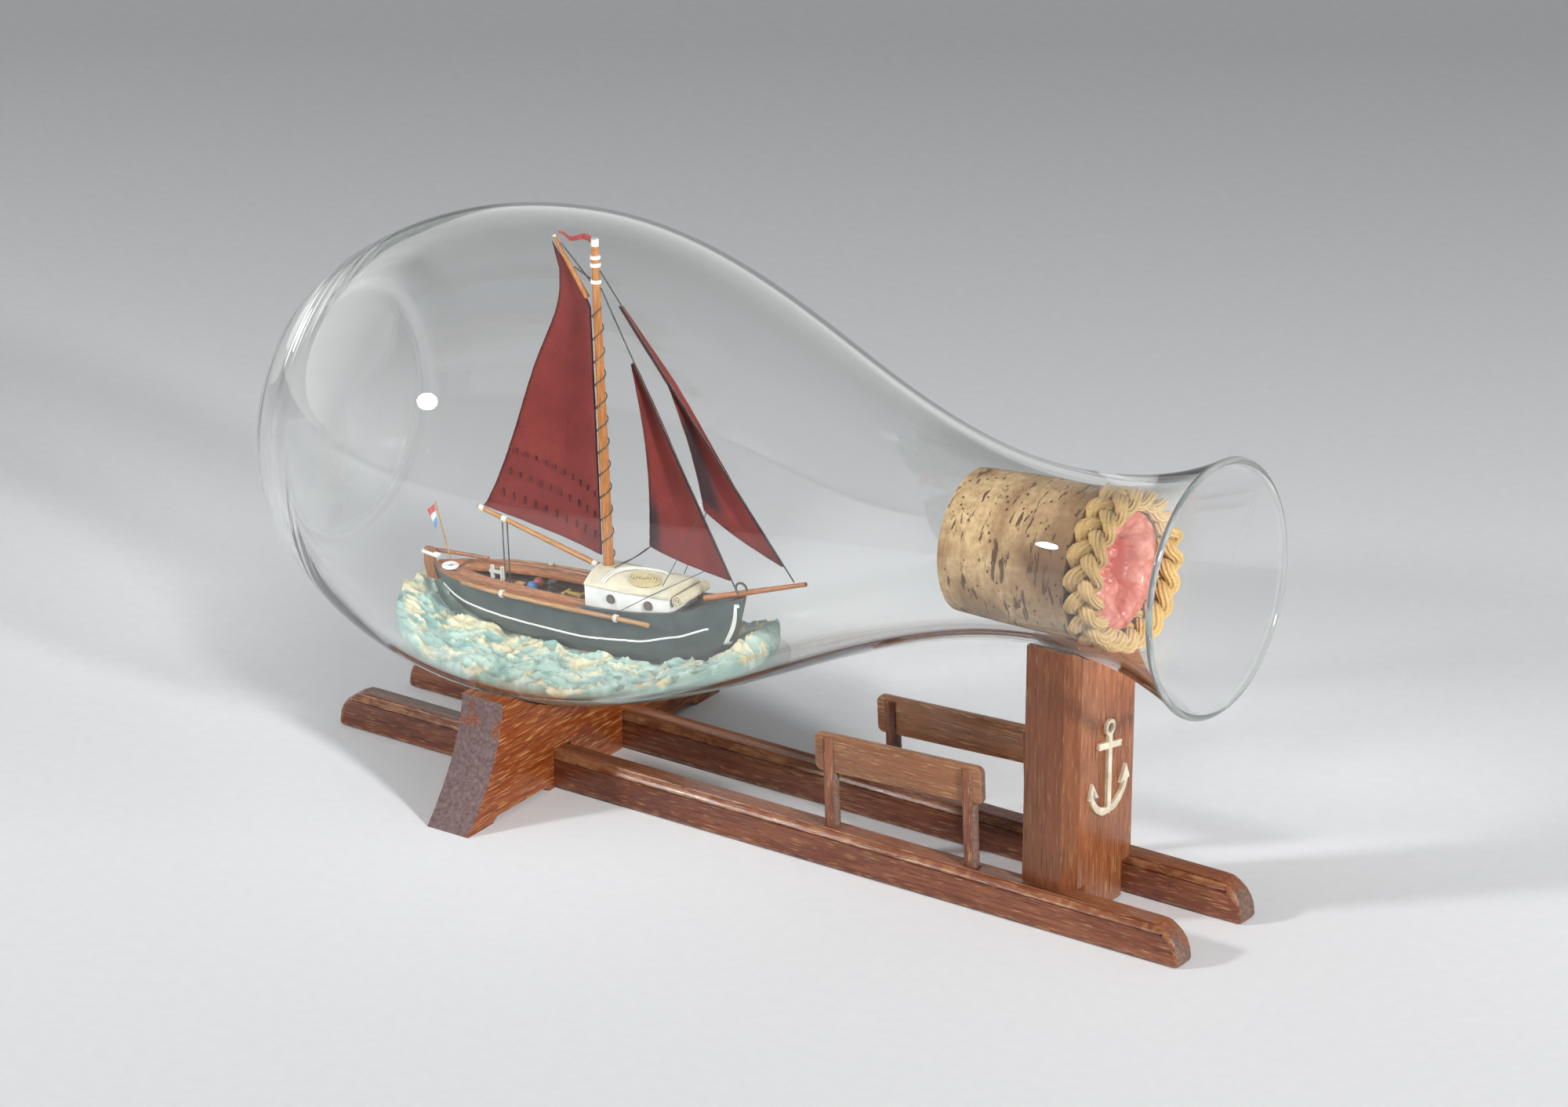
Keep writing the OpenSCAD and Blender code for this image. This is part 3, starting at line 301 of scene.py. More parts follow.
# %% Bottle frame and outline
TILT = radians(3.0)
BASE_AT = (-137.1, 0.0, 81.64)
IN_BOTTLE = Matrix.Scale(MM, 4) @ Matrix.Translation(BASE_AT) @ Matrix.Rotation(-TILT, 4, "Y")
BOTTLE_LEN = 273.0
STAND_R = 34.5
HEEL_AT = 14.0
BELLY_AT = 74.0
THROAT_AT = 228.0
MOUTH_R = 33.2
OUTLINE = [
    (0, STAND_R, 1.25), (HEEL_AT, 47.6, 0.66), (BELLY_AT, 65, 0),
    (150, 44, -0.43), (THROAT_AT, 22.7, 0), (BOTTLE_LEN, MOUTH_R, 0.55),
]
GLASS_WALL = [
    (HEEL_AT, 3.6, -0.1), (34, 2.2, -0.03), (52, 1.8, 0), (THROAT_AT, 2.6, 0), (BOTTLE_LEN, 1.9, 0),
]


def mix(a, b, t):
    return a + (b - a) * t


def clamp(x):
    return min(1.0, max(0.0, x))


def shares(count):
    """Even shares from 0 to 1."""
    return [i / count for i in range(count + 1)]


def ring(turn, radius):
    """Two coordinates of a place on a circle, by the share of a turn."""
    return radius * cos(tau * turn), radius * sin(tau * turn)


def between(knots, x):
    """The knots before and after x, and how far x is from the first to the second."""
    p, q = next((pair for pair in zip(knots, knots[1:]) if x <= pair[1][0]), knots[-2:])
    return p, q, (x - p[0]) / (q[0] - p[0])


def along(knots, x):
    """Height at x of the smooth line through knots of place, height and slope."""
    p, q, t = between(knots, x)
    h = q[0] - p[0]
    return (
        (2 * t**3 - 3 * t**2 + 1) * p[1] + (t**3 - 2 * t**2 + t) * h * p[2]
        + (3 * t**2 - 2 * t**3) * q[1] + (t**3 - t**2) * h * q[2]
    )


def out_r(b):
    return along(OUTLINE, b)


def in_r(b):
    return out_r(b) - along(GLASS_WALL, b)


print("throat", round(out_r(THROAT_AT), 2), "belly inside", round(in_r(BELLY_AT), 2))

# %% [markdown]
# ## From a mesh to a piece
# Every piece ends the same way: its mesh is moved into place, shaded smooth with its sharp edges kept,
# given a finish and tied to the body it moves with. One function does it, so no step is forgotten.

# %% Piece helpers
ALONG_X, ALONG_Y, ALONG_Z = (1, 0, 0), (0, 1, 0), (0, 0, 1)
BOW_STEPS = 10


def piece_from(
    bm, name, finishes, node=None, slot=None, body="carafe", matrix=IN_BOTTLE, smooth=60.0, outward=True
):
    """Turns a bmesh into a finished piece that rides on a body."""
    if matrix is not None:
        bmesh.ops.transform(bm, matrix=matrix, verts=bm.verts)
    if outward:
        bmesh.ops.recalc_face_normals(bm, faces=bm.faces)
    piece = object_from(bm, name, finishes)
    piece.data.shade_smooth()
    piece.data.set_sharp_from_angle(angle=radians(smooth))
    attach(piece, body)
    if node:
        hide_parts(node)
    slot or finishes[0].name
    return piece


def joined_copy(node):
    """A CAD node's mesh as a bmesh with its loose triangles joined."""
    bm = bmesh.new()
    bm.from_mesh(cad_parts[node].data)
    bmesh.ops.remove_doubles(bm, verts=bm.verts, dist=2e-6)
    return bm


def merged_copy(node):
    """The same, with its flat faces made whole."""
    bm = joined_copy(node)
    bmesh.ops.dissolve_limit(bm, angle_limit=radians(0.4), verts=bm.verts, edges=bm.edges)
    return bm


def edge_angle(edge):
    return edge.calc_face_angle(0.0) if len(edge.link_faces) == 2 else 0.0


def rounded_edges(bm, edges, width, segments=2, clamp_overlap=True):
    return bmesh.ops.bevel(
        bm, geom=edges, offset=width, offset_type="OFFSET", affect="EDGES", segments=segments,
        profile=0.5, material=-1, clamp_overlap=clamp_overlap,
    )["faces"]


def softened(
    node, name, finish, width, slot=None, body="carafe", sharp=28.0, segments=2, grain=ALONG_X, outer=0.0
):
    """The CAD shape with its sharp edges rounded, its worn edges and cut ends marked, and its tops and near
    sides marked for painted light and shade.

    With outer, only edges farther from the middle plane than that share of the half width are rounded.
    """
    bm = merged_copy(node)
    wear, end_grain, upper, painted_shade_side = (
        bm.faces.layers.float.new(mark) for mark in ("edge_wear", "end_grain", "upper", "painted_shade_side")
    )
    sides = [v.co.y for v in bm.verts]
    middle, half = (max(sides) + min(sides)) / 2, (max(sides) - min(sides)) / 2
    edges = [
        e for e in bm.edges
        if edge_angle(e) > radians(sharp) and min(abs(v.co.y - middle) for v in e.verts) >= outer * half
    ]
    for face in rounded_edges(bm, edges, width * MM, segments, outer == 0.0):
        face[wear] = 1.0
    bm.normal_update()
    for face in bm.faces:
        # Tops are marked for painted light, near sides for painted shade.
        face[upper] = max(0.0, face.normal.z)
        face[painted_shade_side] = max(0.0, -face.normal.y)
        face[end_grain] = clamp((abs(face.normal.dot(Vector(grain))) - 0.55) * 5.0)
    return piece_from(bm, name, [finish], node, slot, body, None, 32.0, False)


def dress(node, finish):
    """A CAD node that keeps its own mesh and gets a finish."""
    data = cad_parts[node].data
    data.materials.clear()
    data.materials.append(finish.material)


def curve_along(name, routes, closed, **settings):
    """A curve object in the scene along rows of points."""
    curve = bpy.data.curves.new(name, "CURVE")
    for key, value in settings.items():
        setattr(curve, key, value)
    for route in routes:
        line = curve.splines.new("POLY")
        line.points.add(len(route) - 1)
        line.use_cyclic_u = closed
        for point, place in zip(line.points, route):
            point.co = (*place, 1.0)
    holder = bpy.data.objects.new(name + "_route", curve)
    scene.collection.objects.link(holder)
    return holder


def swept(holder):
    """The mesh of a bevelled curve as a bmesh; the curve itself goes."""
    bpy.context.view_layer.update()
    mesh = bpy.data.meshes.new_from_object(holder.evaluated_get(bpy.context.evaluated_depsgraph_get()))
    bpy.data.objects.remove(holder)
    bm = bmesh.new()
    bm.from_mesh(mesh)
    bmesh.ops.remove_doubles(bm, verts=bm.verts, dist=1e-5)
    return bm


def tube_piece(name, routes, radius, finish, node=None, slot=None, closed=False):
    """Round threads along rows of points, made as a bevelled curve and then a mesh."""
    holder = curve_along(
        name, routes, closed,
        dimensions="3D", bevel_depth=radius, bevel_resolution=2, use_fill_caps=not closed,
    )
    return piece_from(swept(holder), name, [finish], node, slot, outward=False)


def bowed(p, q, sag=0.0):
    """Points from p to q that hang down by sag in the middle."""
    p, q = Vector(p), Vector(q)
    return [p.lerp(q, t) - Vector((0, 0, sag * 4 * t * (1 - t))) for t in shares(BOW_STEPS)]


def grid_points(bm, columns, rows, **more):
    """Adds a grid and gives its points, each with its shares from 0 to 1 along both sides."""
    grid = bmesh.ops.create_grid(bm, x_segments=columns, y_segments=rows, size=1.0, **more)
    for vert in grid["verts"]:
        yield vert, vert.co.x * 0.5 + 0.5, vert.co.y * 0.5 + 0.5


print("piece helpers ready")

# %% [markdown]
# ## Glass
# Blown glass is thicker at the heel than at the belly. A flat sheet with thickness added would lose
# that, so both skins are drawn as one outline from the hollow under the base, along the outside, over
# the lip and back along the inside, and spun once round. Lamps pass straight through it, so that the
# ship is lit as through real glass, and everything else sees a true bending shader.

# %% Glass finish
GLASS_IOR = 1.47
glass = Finish(
    "clear_glass", Base_Color=(0.985, 0.992, 0.987), Roughness=0.0, IOR=GLASS_IOR, Transmission_Weight=1.0
)
lamp_ray = glass.node("LightPath").outputs["Is Shadow Ray"]
open_glass = glass.node("BsdfTransparent", {"Color": (0.82, 0.83, 0.825)})
glass_choice = glass.node("MixShader", {0: lamp_ray, 1: glass.shader.outputs[0], 2: open_glass.outputs[0]})
glass.feed(glass.tree.nodes["Material Output"].inputs["Surface"], glass_choice.outputs[0])

lip_glass = Finish(
    "lip_glass", Base_Color=(0.72, 0.76, 0.74), Roughness=0.05, IOR=GLASS_IOR, Transmission_Weight=0.75
)
print(glass.name, lip_glass.name)

# %% Bottle spun from its outline
LIP_R = 0.95
LIP_DEPTH = 0.4
PUNT_H = 12.0
FLOOR_WALL = 3.6
FLOOR_R = in_r(HEEL_AT)
RIPPLE = 0.045
UNDER_STEPS = 26
OUTSIDE_STEPS = 92
INSIDE_STEPS = 84
FLOOR_STEPS = 40
BOTTLE_SPIN = 360
EASED_POINTS = 38
EASED_FLOOR_POINTS = FLOOR_STEPS + 4
EASING_PASSES = 8


def heel_ripple(b):
    """Faint rings that the glassblower's turning leaves near the heel."""
    return RIPPLE * sin(b * 1.25) * exp(-((b - 12.0) / 9.0) ** 2)


def close_at_ends(count):
    """Shares from 0 to 1 that lie close together near both ends."""
    return [t - 0.8 * sin(tau * t) / tau for t in shares(count)]


def floor_at(r):
    """Place along the axis of the floor inside, which follows the hollow under the base."""
    if r > STAND_R:
        return FLOOR_WALL + (HEEL_AT - FLOOR_WALL) * ((r - STAND_R) / (FLOOR_R - STAND_R)) ** 1.6
    return FLOOR_WALL + PUNT_H * (1 - (r / STAND_R) ** 2)


def bottle_profile():
    under = [(PUNT_H * (1 - t**2), STAND_R * t) for t in shares(UNDER_STEPS)[:-1]]
    stops = [BOTTLE_LEN * t for t in close_at_ends(OUTSIDE_STEPS)]
    outside = [(b, out_r(b) + heel_ripple(b)) for b in stops]
    bends = [radians(a) for a in range(20, 161, 20)]
    lip = [(BOTTLE_LEN + LIP_R * sin(a), MOUTH_R - LIP_R + LIP_R * cos(a)) for a in bends]
    stops = [mix(BOTTLE_LEN, HEEL_AT, t) for t in close_at_ends(INSIDE_STEPS)]
    inside = [(b, in_r(b) - 0.5 * heel_ripple(b + 1.6)) for b in stops]
    radii = [FLOOR_R * (1 - t) for t in shares(FLOOR_STEPS)[1:]]
    return under + outside + lip + inside + [(floor_at(r), r) for r in radii]


def rounded_base(points):
    """Rounds the standing ring and the floor's corner by letting their points draw together."""
    eased = list(points)
    last = len(eased) - 1
    for _ in range(EASING_PASSES):
        for i in [*range(1, EASED_POINTS), *range(last + 1 - EASED_FLOOR_POINTS, last)]:
            p, q, r = eased[i - 1:i + 2]
            eased[i] = tuple((a + 2 * b + c) / 4 for a, b, c in zip(p, q, r))
    return eased


def spun(profile, steps):
    """A bmesh turned round the X axis from points of place along it and radius."""
    bm = bmesh.new()
    verts = [bm.verts.new((x, 0.0, r)) for x, r in profile]
    edges = [bm.edges.new(pair) for pair in zip(verts, verts[1:])]
    bmesh.ops.spin(
        bm, geom=verts + edges, cent=(0, 0, 0), axis=ALONG_X, dvec=(0, 0, 0), angle=tau,
        steps=steps, use_merge=True, use_duplicate=False,
    )
    bmesh.ops.remove_doubles(bm, verts=bm.verts, dist=1e-4)
    return bm


bottle_mesh = spun(rounded_base(bottle_profile()), BOTTLE_SPIN)
for face in bottle_mesh.faces:
    face.material_index = 1 if face.calc_center_median().x > BOTTLE_LEN - LIP_DEPTH else 0
bottle = piece_from(bottle_mesh, "glass_bottle", [glass, lip_glass], "bottle", smooth=70.0)
print("bottle faces:", len(bottle.data.polygons))

# %% [markdown]
# ## Cork
# The cork is a tapered plug, punched across the bark, so dark pores run as short dashes round it and as
# pits on its ends. Pores could be cut as holes, but there are hundreds, so the larger chips are in the
# mesh, pressed in by noise, and the fine pores are in the finish. Its outer end is darker, most in a band
# on one side.

# %% Cork
ALONG_CORK = (0, -TILT, 0)
cork = Finish("cork", Roughness=0.75)
cork_grain = cork.noise(520, 6.0, 0.65)
bark = cork.ramp(
    cork_grain, (0.28, (0.32, 0.19, 0.085)), (0.5, (0.48, 0.325, 0.165)), (0.72, (0.60, 0.445, 0.255))
)
stain = cork.span(cork.noise((75, 60, 60), 3.0, turn=ALONG_CORK), 0.45, 0.62, 0.0, 0.7)
bark = cork.mix(stain, bark, (0.19, 0.095, 0.036))
# The outer end is darkened, most in a band on the near side.
bark = cork.mix(cork.times(cork.attribute("outer"), 0.95), bark, (0.12, 0.055, 0.02))
rings = cork.span(cork.noise((900, 40, 40), 2.0, turn=ALONG_CORK), 0.55, 0.7, 0.0, 0.35)
bark = cork.mix(rings, bark, (0.22, 0.115, 0.045))
dashes = cork.span(cork.noise((520, 130, 130), 5.0, 0.6, 0.35, ALONG_CORK), 0.585, 0.61)
pores = cork.math("MAXIMUM", dashes, cork.span(cork.cells(360), 0.10, 0.17, 1.0, 0.0))
cork.set("Base Color", cork.mix(cork.times(pores, 0.9), bark, (0.06, 0.024, 0.010)))
cork.bump(cork.math("SUBTRACT", cork_grain, pores), 0.6, 0.0004)

CORK_IN = 203.0
CORK_OUT = 241.5
CORK_R = 19.98
CORK_SMALL_R = 18.28
CORK_ROWS = 48
CORK_RINGS = 10
CORK_SPIN = 120
DARK_FROM = 217.0
DARK_LEN = 16.0
DARK_BAND_V = 5.0
DARK_BAND_HALF = 8.5
cork_inner = [(CORK_IN, CORK_SMALL_R * t) for t in shares(CORK_RINGS)[:-1]]
cork_side = [(mix(CORK_IN, CORK_OUT, t), mix(CORK_SMALL_R, CORK_R, t)) for t in shares(CORK_ROWS)]
cork_outer = [(CORK_OUT, CORK_R * (1 - t)) for t in shares(CORK_RINGS)[1:]]
cork_mesh = spun(cork_inner + cork_side + cork_outer, CORK_SPIN)
outer = cork_mesh.verts.layers.float.new("outer")
for vert in cork_mesh.verts:
    # How much darker each point is drawn: more towards the outer end, most in a band on the near side.
    toward_end = clamp((vert.co.x - DARK_FROM) / DARK_LEN + 0.5 * noise(vert.co * 0.2))
    dark_band = exp(-((vert.co.z - DARK_BAND_V) / DARK_BAND_HALF) ** 2) if vert.co.y < 0 else 0.0
    vert[outer] = toward_end * (0.3 + 0.7 * dark_band)
    chip = noise(vert.co * 0.33) + 0.5 * noise(vert.co * 0.9)
    vert.co -= Vector((0.0, vert.co.y, vert.co.z)) * max(0.0, chip - 0.25) * 0.02
cork_piece = piece_from(cork_mesh, "cork_plug", [cork], "cork", body="stopper", smooth=50.0)
print("cork faces:", len(cork_piece.data.polygons))

# %% [markdown]
# ## Rope ring
# One strand goes three times round and crosses itself like a plait. The strand is hardly twisted,
# so its long fibres run along it and it lies a little flat. A curve with a ribbed oval section as its
# bevel gives fibres and flatness at once, without any drawn texture. The creases between the strands
# and the ring's inner side are darkened as painted shade.

# %% Rope ring
rope = Finish("straw_rope", Roughness=0.85, Sheen_Weight=0.15)
fibre = rope.noise(1900, 5.0, 0.7)
straw = rope.ramp(fibre, (0.25, (0.44, 0.265, 0.075)), (0.5, (0.70, 0.48, 0.19)), (0.8, (0.87, 0.68, 0.36)))
# Painted shade: the creases and the ring's inner side are drawn darker.
straw = rope.mix(rope.times(rope.attribute("painted_crease_shade"), 0.5), straw, (0.22, 0.105, 0.03))
aged = rope.span(rope.noise(160, 3.0), 0.35, 0.7, 0.0, 0.3)
rope.set("Base Color", rope.mix(aged, straw, (0.36, 0.22, 0.09)))
rope.bump(fibre, 0.6, 0.0003)

YARN_THIN = 1.2
YARN_WIDE = 1.75
RIBS = 9
RIB_POINTS = RIBS * 6
RIB_DEPTH = 0.12
PLAIT_STEPS = 660
PLAIT_ROUNDS = 3
PLAIT_SWINGS = 19
PLAIT_AT = 246.4
PLAIT_SWING = 3.4
PLAIT_LIFT = 1.7
PLAIT_LEAN = 0.35
PLAIT_R = in_r(PLAIT_AT - PLAIT_SWING) - 0.4 - PLAIT_LIFT - YARN_THIN + PLAIT_LIFT * 0.25
Z_TO_X = Matrix(((0, 0, 1, 0), (1, 0, 0, 0), (0, 1, 0, 0), (0, 0, 0, 1)))


def plait_point(t):
    """A place on the strand, with the ring's axis along Z so that the section keeps upright."""
    swing = PLAIT_SWINGS * tau * t
    return (*ring(PLAIT_ROUNDS * t, PLAIT_R + PLAIT_LIFT * sin(2 * swing)), PLAIT_SWING * sin(swing))


def section_point(t):
    x, y = ring(t, 1.0 + RIB_DEPTH * cos(RIBS * tau * t))
    return (YARN_THIN * x, YARN_WIDE * y, 0.0)


section = curve_along("yarn_section", [[section_point(t) for t in shares(RIB_POINTS)[:-1]]], True)
strand = curve_along(
    "plait", [[plait_point(t) for t in shares(PLAIT_STEPS)[:-1]]], True,
    dimensions="3D", twist_mode="Z_UP", bevel_mode="OBJECT", bevel_object=section,
)
for point, t in zip(strand.data.splines[0].points, shares(PLAIT_STEPS)):
    point.tilt = PLAIT_LEAN * sin(PLAIT_SWINGS * tau * t)
plait_mesh = swept(strand)
bpy.data.objects.remove(section)
# Faces that look away from the ring's outside, into the creases and the middle, are marked for painted
# shade.
painted_crease_shade = plait_mesh.verts.layers.float.new("painted_crease_shade")
plait_mesh.normal_update()
for vert in plait_mesh.verts:
    vert[painted_crease_shade] = clamp(0.1 - vert.normal.dot(vert.co.normalized()))
plait_place = IN_BOTTLE @ Matrix.Translation((PLAIT_AT, 0, 0)) @ Z_TO_X
rope_piece = piece_from(
    plait_mesh, "rope_plait", [rope], "rope_ring", body="stopper", matrix=plait_place, smooth=70.0
)
print("rope faces:", len(rope_piece.data.polygons))

# %% [markdown]
# ## Sealing wax
# The wax was poured and pressed with a thumb, so its hollow is lumpy. It is spun as a dish, then noise
# pushes its points about, more in the hollow than at the rim. The deep thumb hollow is drawn darker as
# painted shade. A little light goes into real wax, which is what subsurface scattering is for.

# %% Sealing wax
wax = Finish(
    "coral_wax", Roughness=0.45, Subsurface_Weight=0.1, Subsurface_Radius=(0.003, 0.0012, 0.0008),
    Coat_Weight=0.2, Coat_Roughness=0.2,
)
wax_pink = wax.ramp(
    wax.noise(300, 5.0), (0.3, (0.42, 0.07, 0.045)), (0.5, (0.57, 0.165, 0.115)), (0.75, (0.72, 0.33, 0.25))
)
# Painted shade: the deep thumb hollow is drawn in dark red.
wax.set("Base Color", wax.mix(wax.attribute("hollow"), wax_pink, (0.34, 0.04, 0.028)))
wax.bump(wax.noise(480, 5.0, 0.6), 0.6, 0.0006)

WAX_AT = 241.55
WAX_H = 5.4
WAX_TOP = WAX_AT + WAX_H
WAX_R = PLAIT_R - PLAIT_LIFT - YARN_THIN - 0.3
WAX_RIM = 3.0
WAX_SPIN = 96
THUMB_Y, THUMB_V = 3.5, 0.5
THUMB_WIDE, THUMB_TALL = 5.2, 6.6
THUMB_DEPTH = 4.2
wax_under = [(WAX_AT, WAX_R * t) for t in shares(12)]
wax_side = [(WAX_AT + WAX_H * t, WAX_R) for t in shares(6)[1:]]
wax_rim = [(WAX_TOP, WAX_R - WAX_RIM * t) for t in shares(6)[1:]]
wax_dish = [
    (WAX_TOP - WAX_RIM * sin(min(1.0, 2.25 * t) * pi / 2), (WAX_R - WAX_RIM) * (1 - t))
    for t in shares(18)[1:]
]
wax_mesh = spun(wax_under + wax_side + wax_rim + wax_dish, WAX_SPIN)
hollow = wax_mesh.verts.layers.float.new("hollow")
for vert in wax_mesh.verts:
    x, y, v = vert.co
    depth = clamp((x - WAX_AT) / 2.0)
    inner = 1.0 - min(1.0, hypot(y, v) / WAX_R) ** 3
    lump = noise(vert.co * 0.19 + Vector((3, 0, 0))) * 4.2 + noise(vert.co * 0.55) * 1.6
    lump += 0.6 * noise(vert.co * 1.3)
    reach = ((y - THUMB_Y) / THUMB_WIDE) ** 2 + ((v - THUMB_V) / THUMB_TALL) ** 2
    reach += 0.35 * noise(vert.co * 0.3)
    thumb = 1.0 / (1.0 + exp((reach - 1.0) * 5.0))
    x += depth * ((0.2 + inner) * min(lump, 0.8) + 1.2 * inner - THUMB_DEPTH * thumb)
    vert.co.x = max(WAX_AT + 0.3 * depth, x)
    # The deepest part of the thumb hollow is marked for painted shade.
    vert[hollow] = 0.9 * thumb * clamp((WAX_AT + 3.6 - vert.co.x) / 3.0)
wax_piece = piece_from(wax_mesh, "wax_seal", [wax], "sealing_wax", body="stopper")
print("wax faces:", len(wax_piece.data.polygons))

# %% [markdown]
# ## Varnished wood
# The stand is dark red hardwood under old varnish: long streaks along the grain, short open pores, and
# pale wood where the edges have rubbed bare. Streaks and pores are one noise texture stretched along the
# grain by the Mapping node. The rounding of the edges marks its own faces, and those get the pale tone.

# %% Wood finish
GLOSS = 0.18
EDGE_WEAR = 0.3


def wood_finish(
    name, dark, middle, light, fleck, grain=ALONG_X, streak=1000.0, figure=1.0,
    side=0.0, fleck_from=0.6, end_tone=(0.15, 0.095, 0.07),
):
    """Streaked wood with pale flecks, painted light on tops and painted shade on near sides; grain is 1
    along the axis that the fibres follow.
    """

    def scales(across, ratio):
        return [across * (ratio if g else 1.0) for g in grain]

    wood = Finish(name)
    patch = wood.noise(scales(90.0, 0.3), 3.0)
    streaks = wood.noise(scales(streak, 0.05), 6.0, 0.65, 0.3)
    both = wood.math("ADD", wood.times(streaks, 0.55), wood.times(patch, 0.45))
    tone = wood.ramp(both, (0.28, dark), (0.5, middle), (0.72, light))
    pale = wood.span(wood.noise(scales(2600.0, 0.07), 2.0, 0.5), fleck_from, 0.68)
    tone = wood.mix(wood.times(pale, 0.6 * figure), tone, fleck)
    pores = wood.span(wood.noise(scales(1700.0, 0.06), 2.0, turn=(0.3, 0.2, 0.1)), 0.6, 0.7)
    tone = wood.mix(wood.times(pores, 0.5 * figure), tone, toned(dark, 0.3))
    # Painted light: tops get the light tone; painted shade: near sides get the dark tone by side's share.
    tone = wood.mix(wood.times(wood.attribute("upper"), 0.35), tone, light)
    tone = wood.mix(wood.times(wood.attribute("painted_shade_side"), side), tone, dark)
    rubbed = wood.times(wood.attribute("edge_wear"), wood.span(wood.noise(260, 5.0), 0.45, 0.6))
    tone = wood.mix(wood.times(rubbed, EDGE_WEAR), tone, fleck)
    dusty = wood.noise(900, 5.0, 0.7)
    cut_end = wood.ramp(dusty, (0.3, toned(end_tone, 0.45)), (0.5, end_tone), (0.72, toned(end_tone, 1.9)))
    bare = wood.span(wood.noise(110, 2.0), 0.6, 0.66, 0.85, 0.2)
    cut = wood.attribute("end_grain")
    wood.set("Base Color", wood.mix(wood.times(cut, bare), tone, cut_end))
    dull = wood.span(streaks, 0.3, 0.75, GLOSS, GLOSS + 0.2)
    wood.set("Roughness", wood.math("ADD", dull, wood.times(cut, 0.4)))
    relief = wood.math("ADD", streaks, wood.times(dusty, 0.4))
    wood.bump(wood.math("SUBTRACT", relief, pores), 0.4, 0.00025)
    return wood


rail_wood = wood_finish(
    "rail_wood", (0.06, 0.013, 0.006), (0.17, 0.047, 0.021), (0.36, 0.135, 0.060), (0.55, 0.30, 0.13)
)
cradle_wood = wood_finish(
    "cradle_wood", (0.10, 0.017, 0.003), (0.20, 0.040, 0.007), (0.30, 0.078, 0.017), (0.60, 0.33, 0.12),
    ALONG_Y, fleck_from=0.55, end_tone=(0.135, 0.098, 0.10),
)
# The post's near sides are darkened as painted shade.
post_wood = wood_finish(
    "post_wood", (0.10, 0.026, 0.009), (0.26, 0.082, 0.030), (0.37, 0.14, 0.055), (0.52, 0.29, 0.12),
    ALONG_Z, side=0.55,
)
board_wood = wood_finish(
    "board_wood", (0.13, 0.047, 0.019), (0.25, 0.10, 0.043), (0.36, 0.165, 0.08), (0.54, 0.33, 0.16)
)
peg_wood = wood_finish(
    "peg_wood", (0.07, 0.017, 0.009), (0.17, 0.052, 0.026), (0.29, 0.11, 0.055), (0.5, 0.28, 0.13), ALONG_Z
)
print("wood finishes:", [w.name for w in (rail_wood, cradle_wood, post_wood, board_wood, peg_wood)])

# %% Stand with worn edges
for side in ("near", "far"):
    softened(side + "_rail", side + "_rail_strip", rail_wood, 1.3, body="stand", segments=4, outer=0.9)
softened("rear_cradle", "rear_cradle_board", cradle_wood, 0.9, body="stand", grain=ALONG_Y)
softened("front_post", "front_post_block", post_wood, 0.5, body="stand", grain=ALONG_Z)
for side in ("near", "far"):
    softened(side + "_name_board", side + "_bare_board", board_wood, 0.35, body="stand")
for side in ("near", "far"):
    softened(side + "_board_pegs", side + "_peg_pair", peg_wood, 0.25, "board_wood", "stand", 50.0)
print("stand pieces ready")

# %% [markdown]
# ## Anchor badge
# A flat cast anchor, pale and rubbed. Its outline is right in the solid part, so a copy of it with
# rounded edges is enough, and the finish is a metal whose roughness changes where fingers polished it.

# %% Anchor badge
brass = Finish("pale_brass", Metallic=0.3)
brass_rub = brass.noise(380)
brass.set("Base Color", brass.ramp(brass_rub, (0.3, (0.62, 0.53, 0.36)), (0.7, (0.90, 0.84, 0.68))))
brass.set("Roughness", brass.span(brass_rub, 0.3, 0.7, 0.28, 0.48))
brass.bump(brass_rub, 0.15, 0.0003)
softened("anchor_badge", "anchor_casting", brass, 0.28, body="stand", sharp=50.0)
print("badge ready")

# %% [markdown]
# ## Hull lines
# The hull is given by three lines that run from stern to bow: half the beam, the gunwale and the keel.
# The first two are written here once more, because the stripe, the sea and the gear have to meet the hull.

# %% Hull lines
BED = 11.5 - in_r(BELLY_AT)
DECK_V = BED + 10.9
PLANK_V = DECK_V + 0.55
RAIL_V = BED + 15.0
BOW_RISE = 7.4
STERN_DIP = 1.4
HALF_BEAM = 10.8
STERN_AT = 30.9
HULL_LEN = 100.0
STEM_AT = STERN_AT + HULL_LEN
MAST_AT = 87.9
MAST_TOP = in_r(MAST_AT) - 1.6
CABIN_AFT = 85.5
CABIN_FORE = 111.5
CABIN_V = DECK_V + 9.3
ROOF_HALF = 8.5
ROOF_CROWN = 3.3
ROOF_V = CABIN_V + ROOF_CROWN


def hull_t(b):
    return clamp((b - STERN_AT) / HULL_LEN)


def half_beam(t):
    return HALF_BEAM * max(0.05, 1 - abs(2 * t - 1) ** 2.8) ** 0.7


def gunwale(t):
    return RAIL_V + BOW_RISE * max(0.0, 2 * t - 1) ** 2.6 - STERN_DIP * max(0.0, 1 - 2 * t) ** 2


def roof_height(y):
    radius = (ROOF_HALF**2 + ROOF_CROWN**2) / (2 * ROOF_CROWN)
    return ROOF_V + 0.05 - radius + sqrt(radius**2 - y**2)


print("bed", round(BED, 2), "deck", round(DECK_V, 2), "mast top", round(MAST_TOP, 2))

# %% [markdown]
# ## Paint
# Enamel on a model is brushed on: it is thin on edges, has faint strokes and gathers dust. One function
# makes every paint from its own colour, a paler and a darker cloud of it, and a fine brushed bump. The
# ship's small woods have a finer streak and a weaker figure than the stand's.

# %% Paint finishes
SMALL_WORK = {"streak": 2200.0, "figure": 0.4}
WHITTLED = {"streak": 2000.0, "figure": 0.5}
MAST_PAINT_Z = 0.145


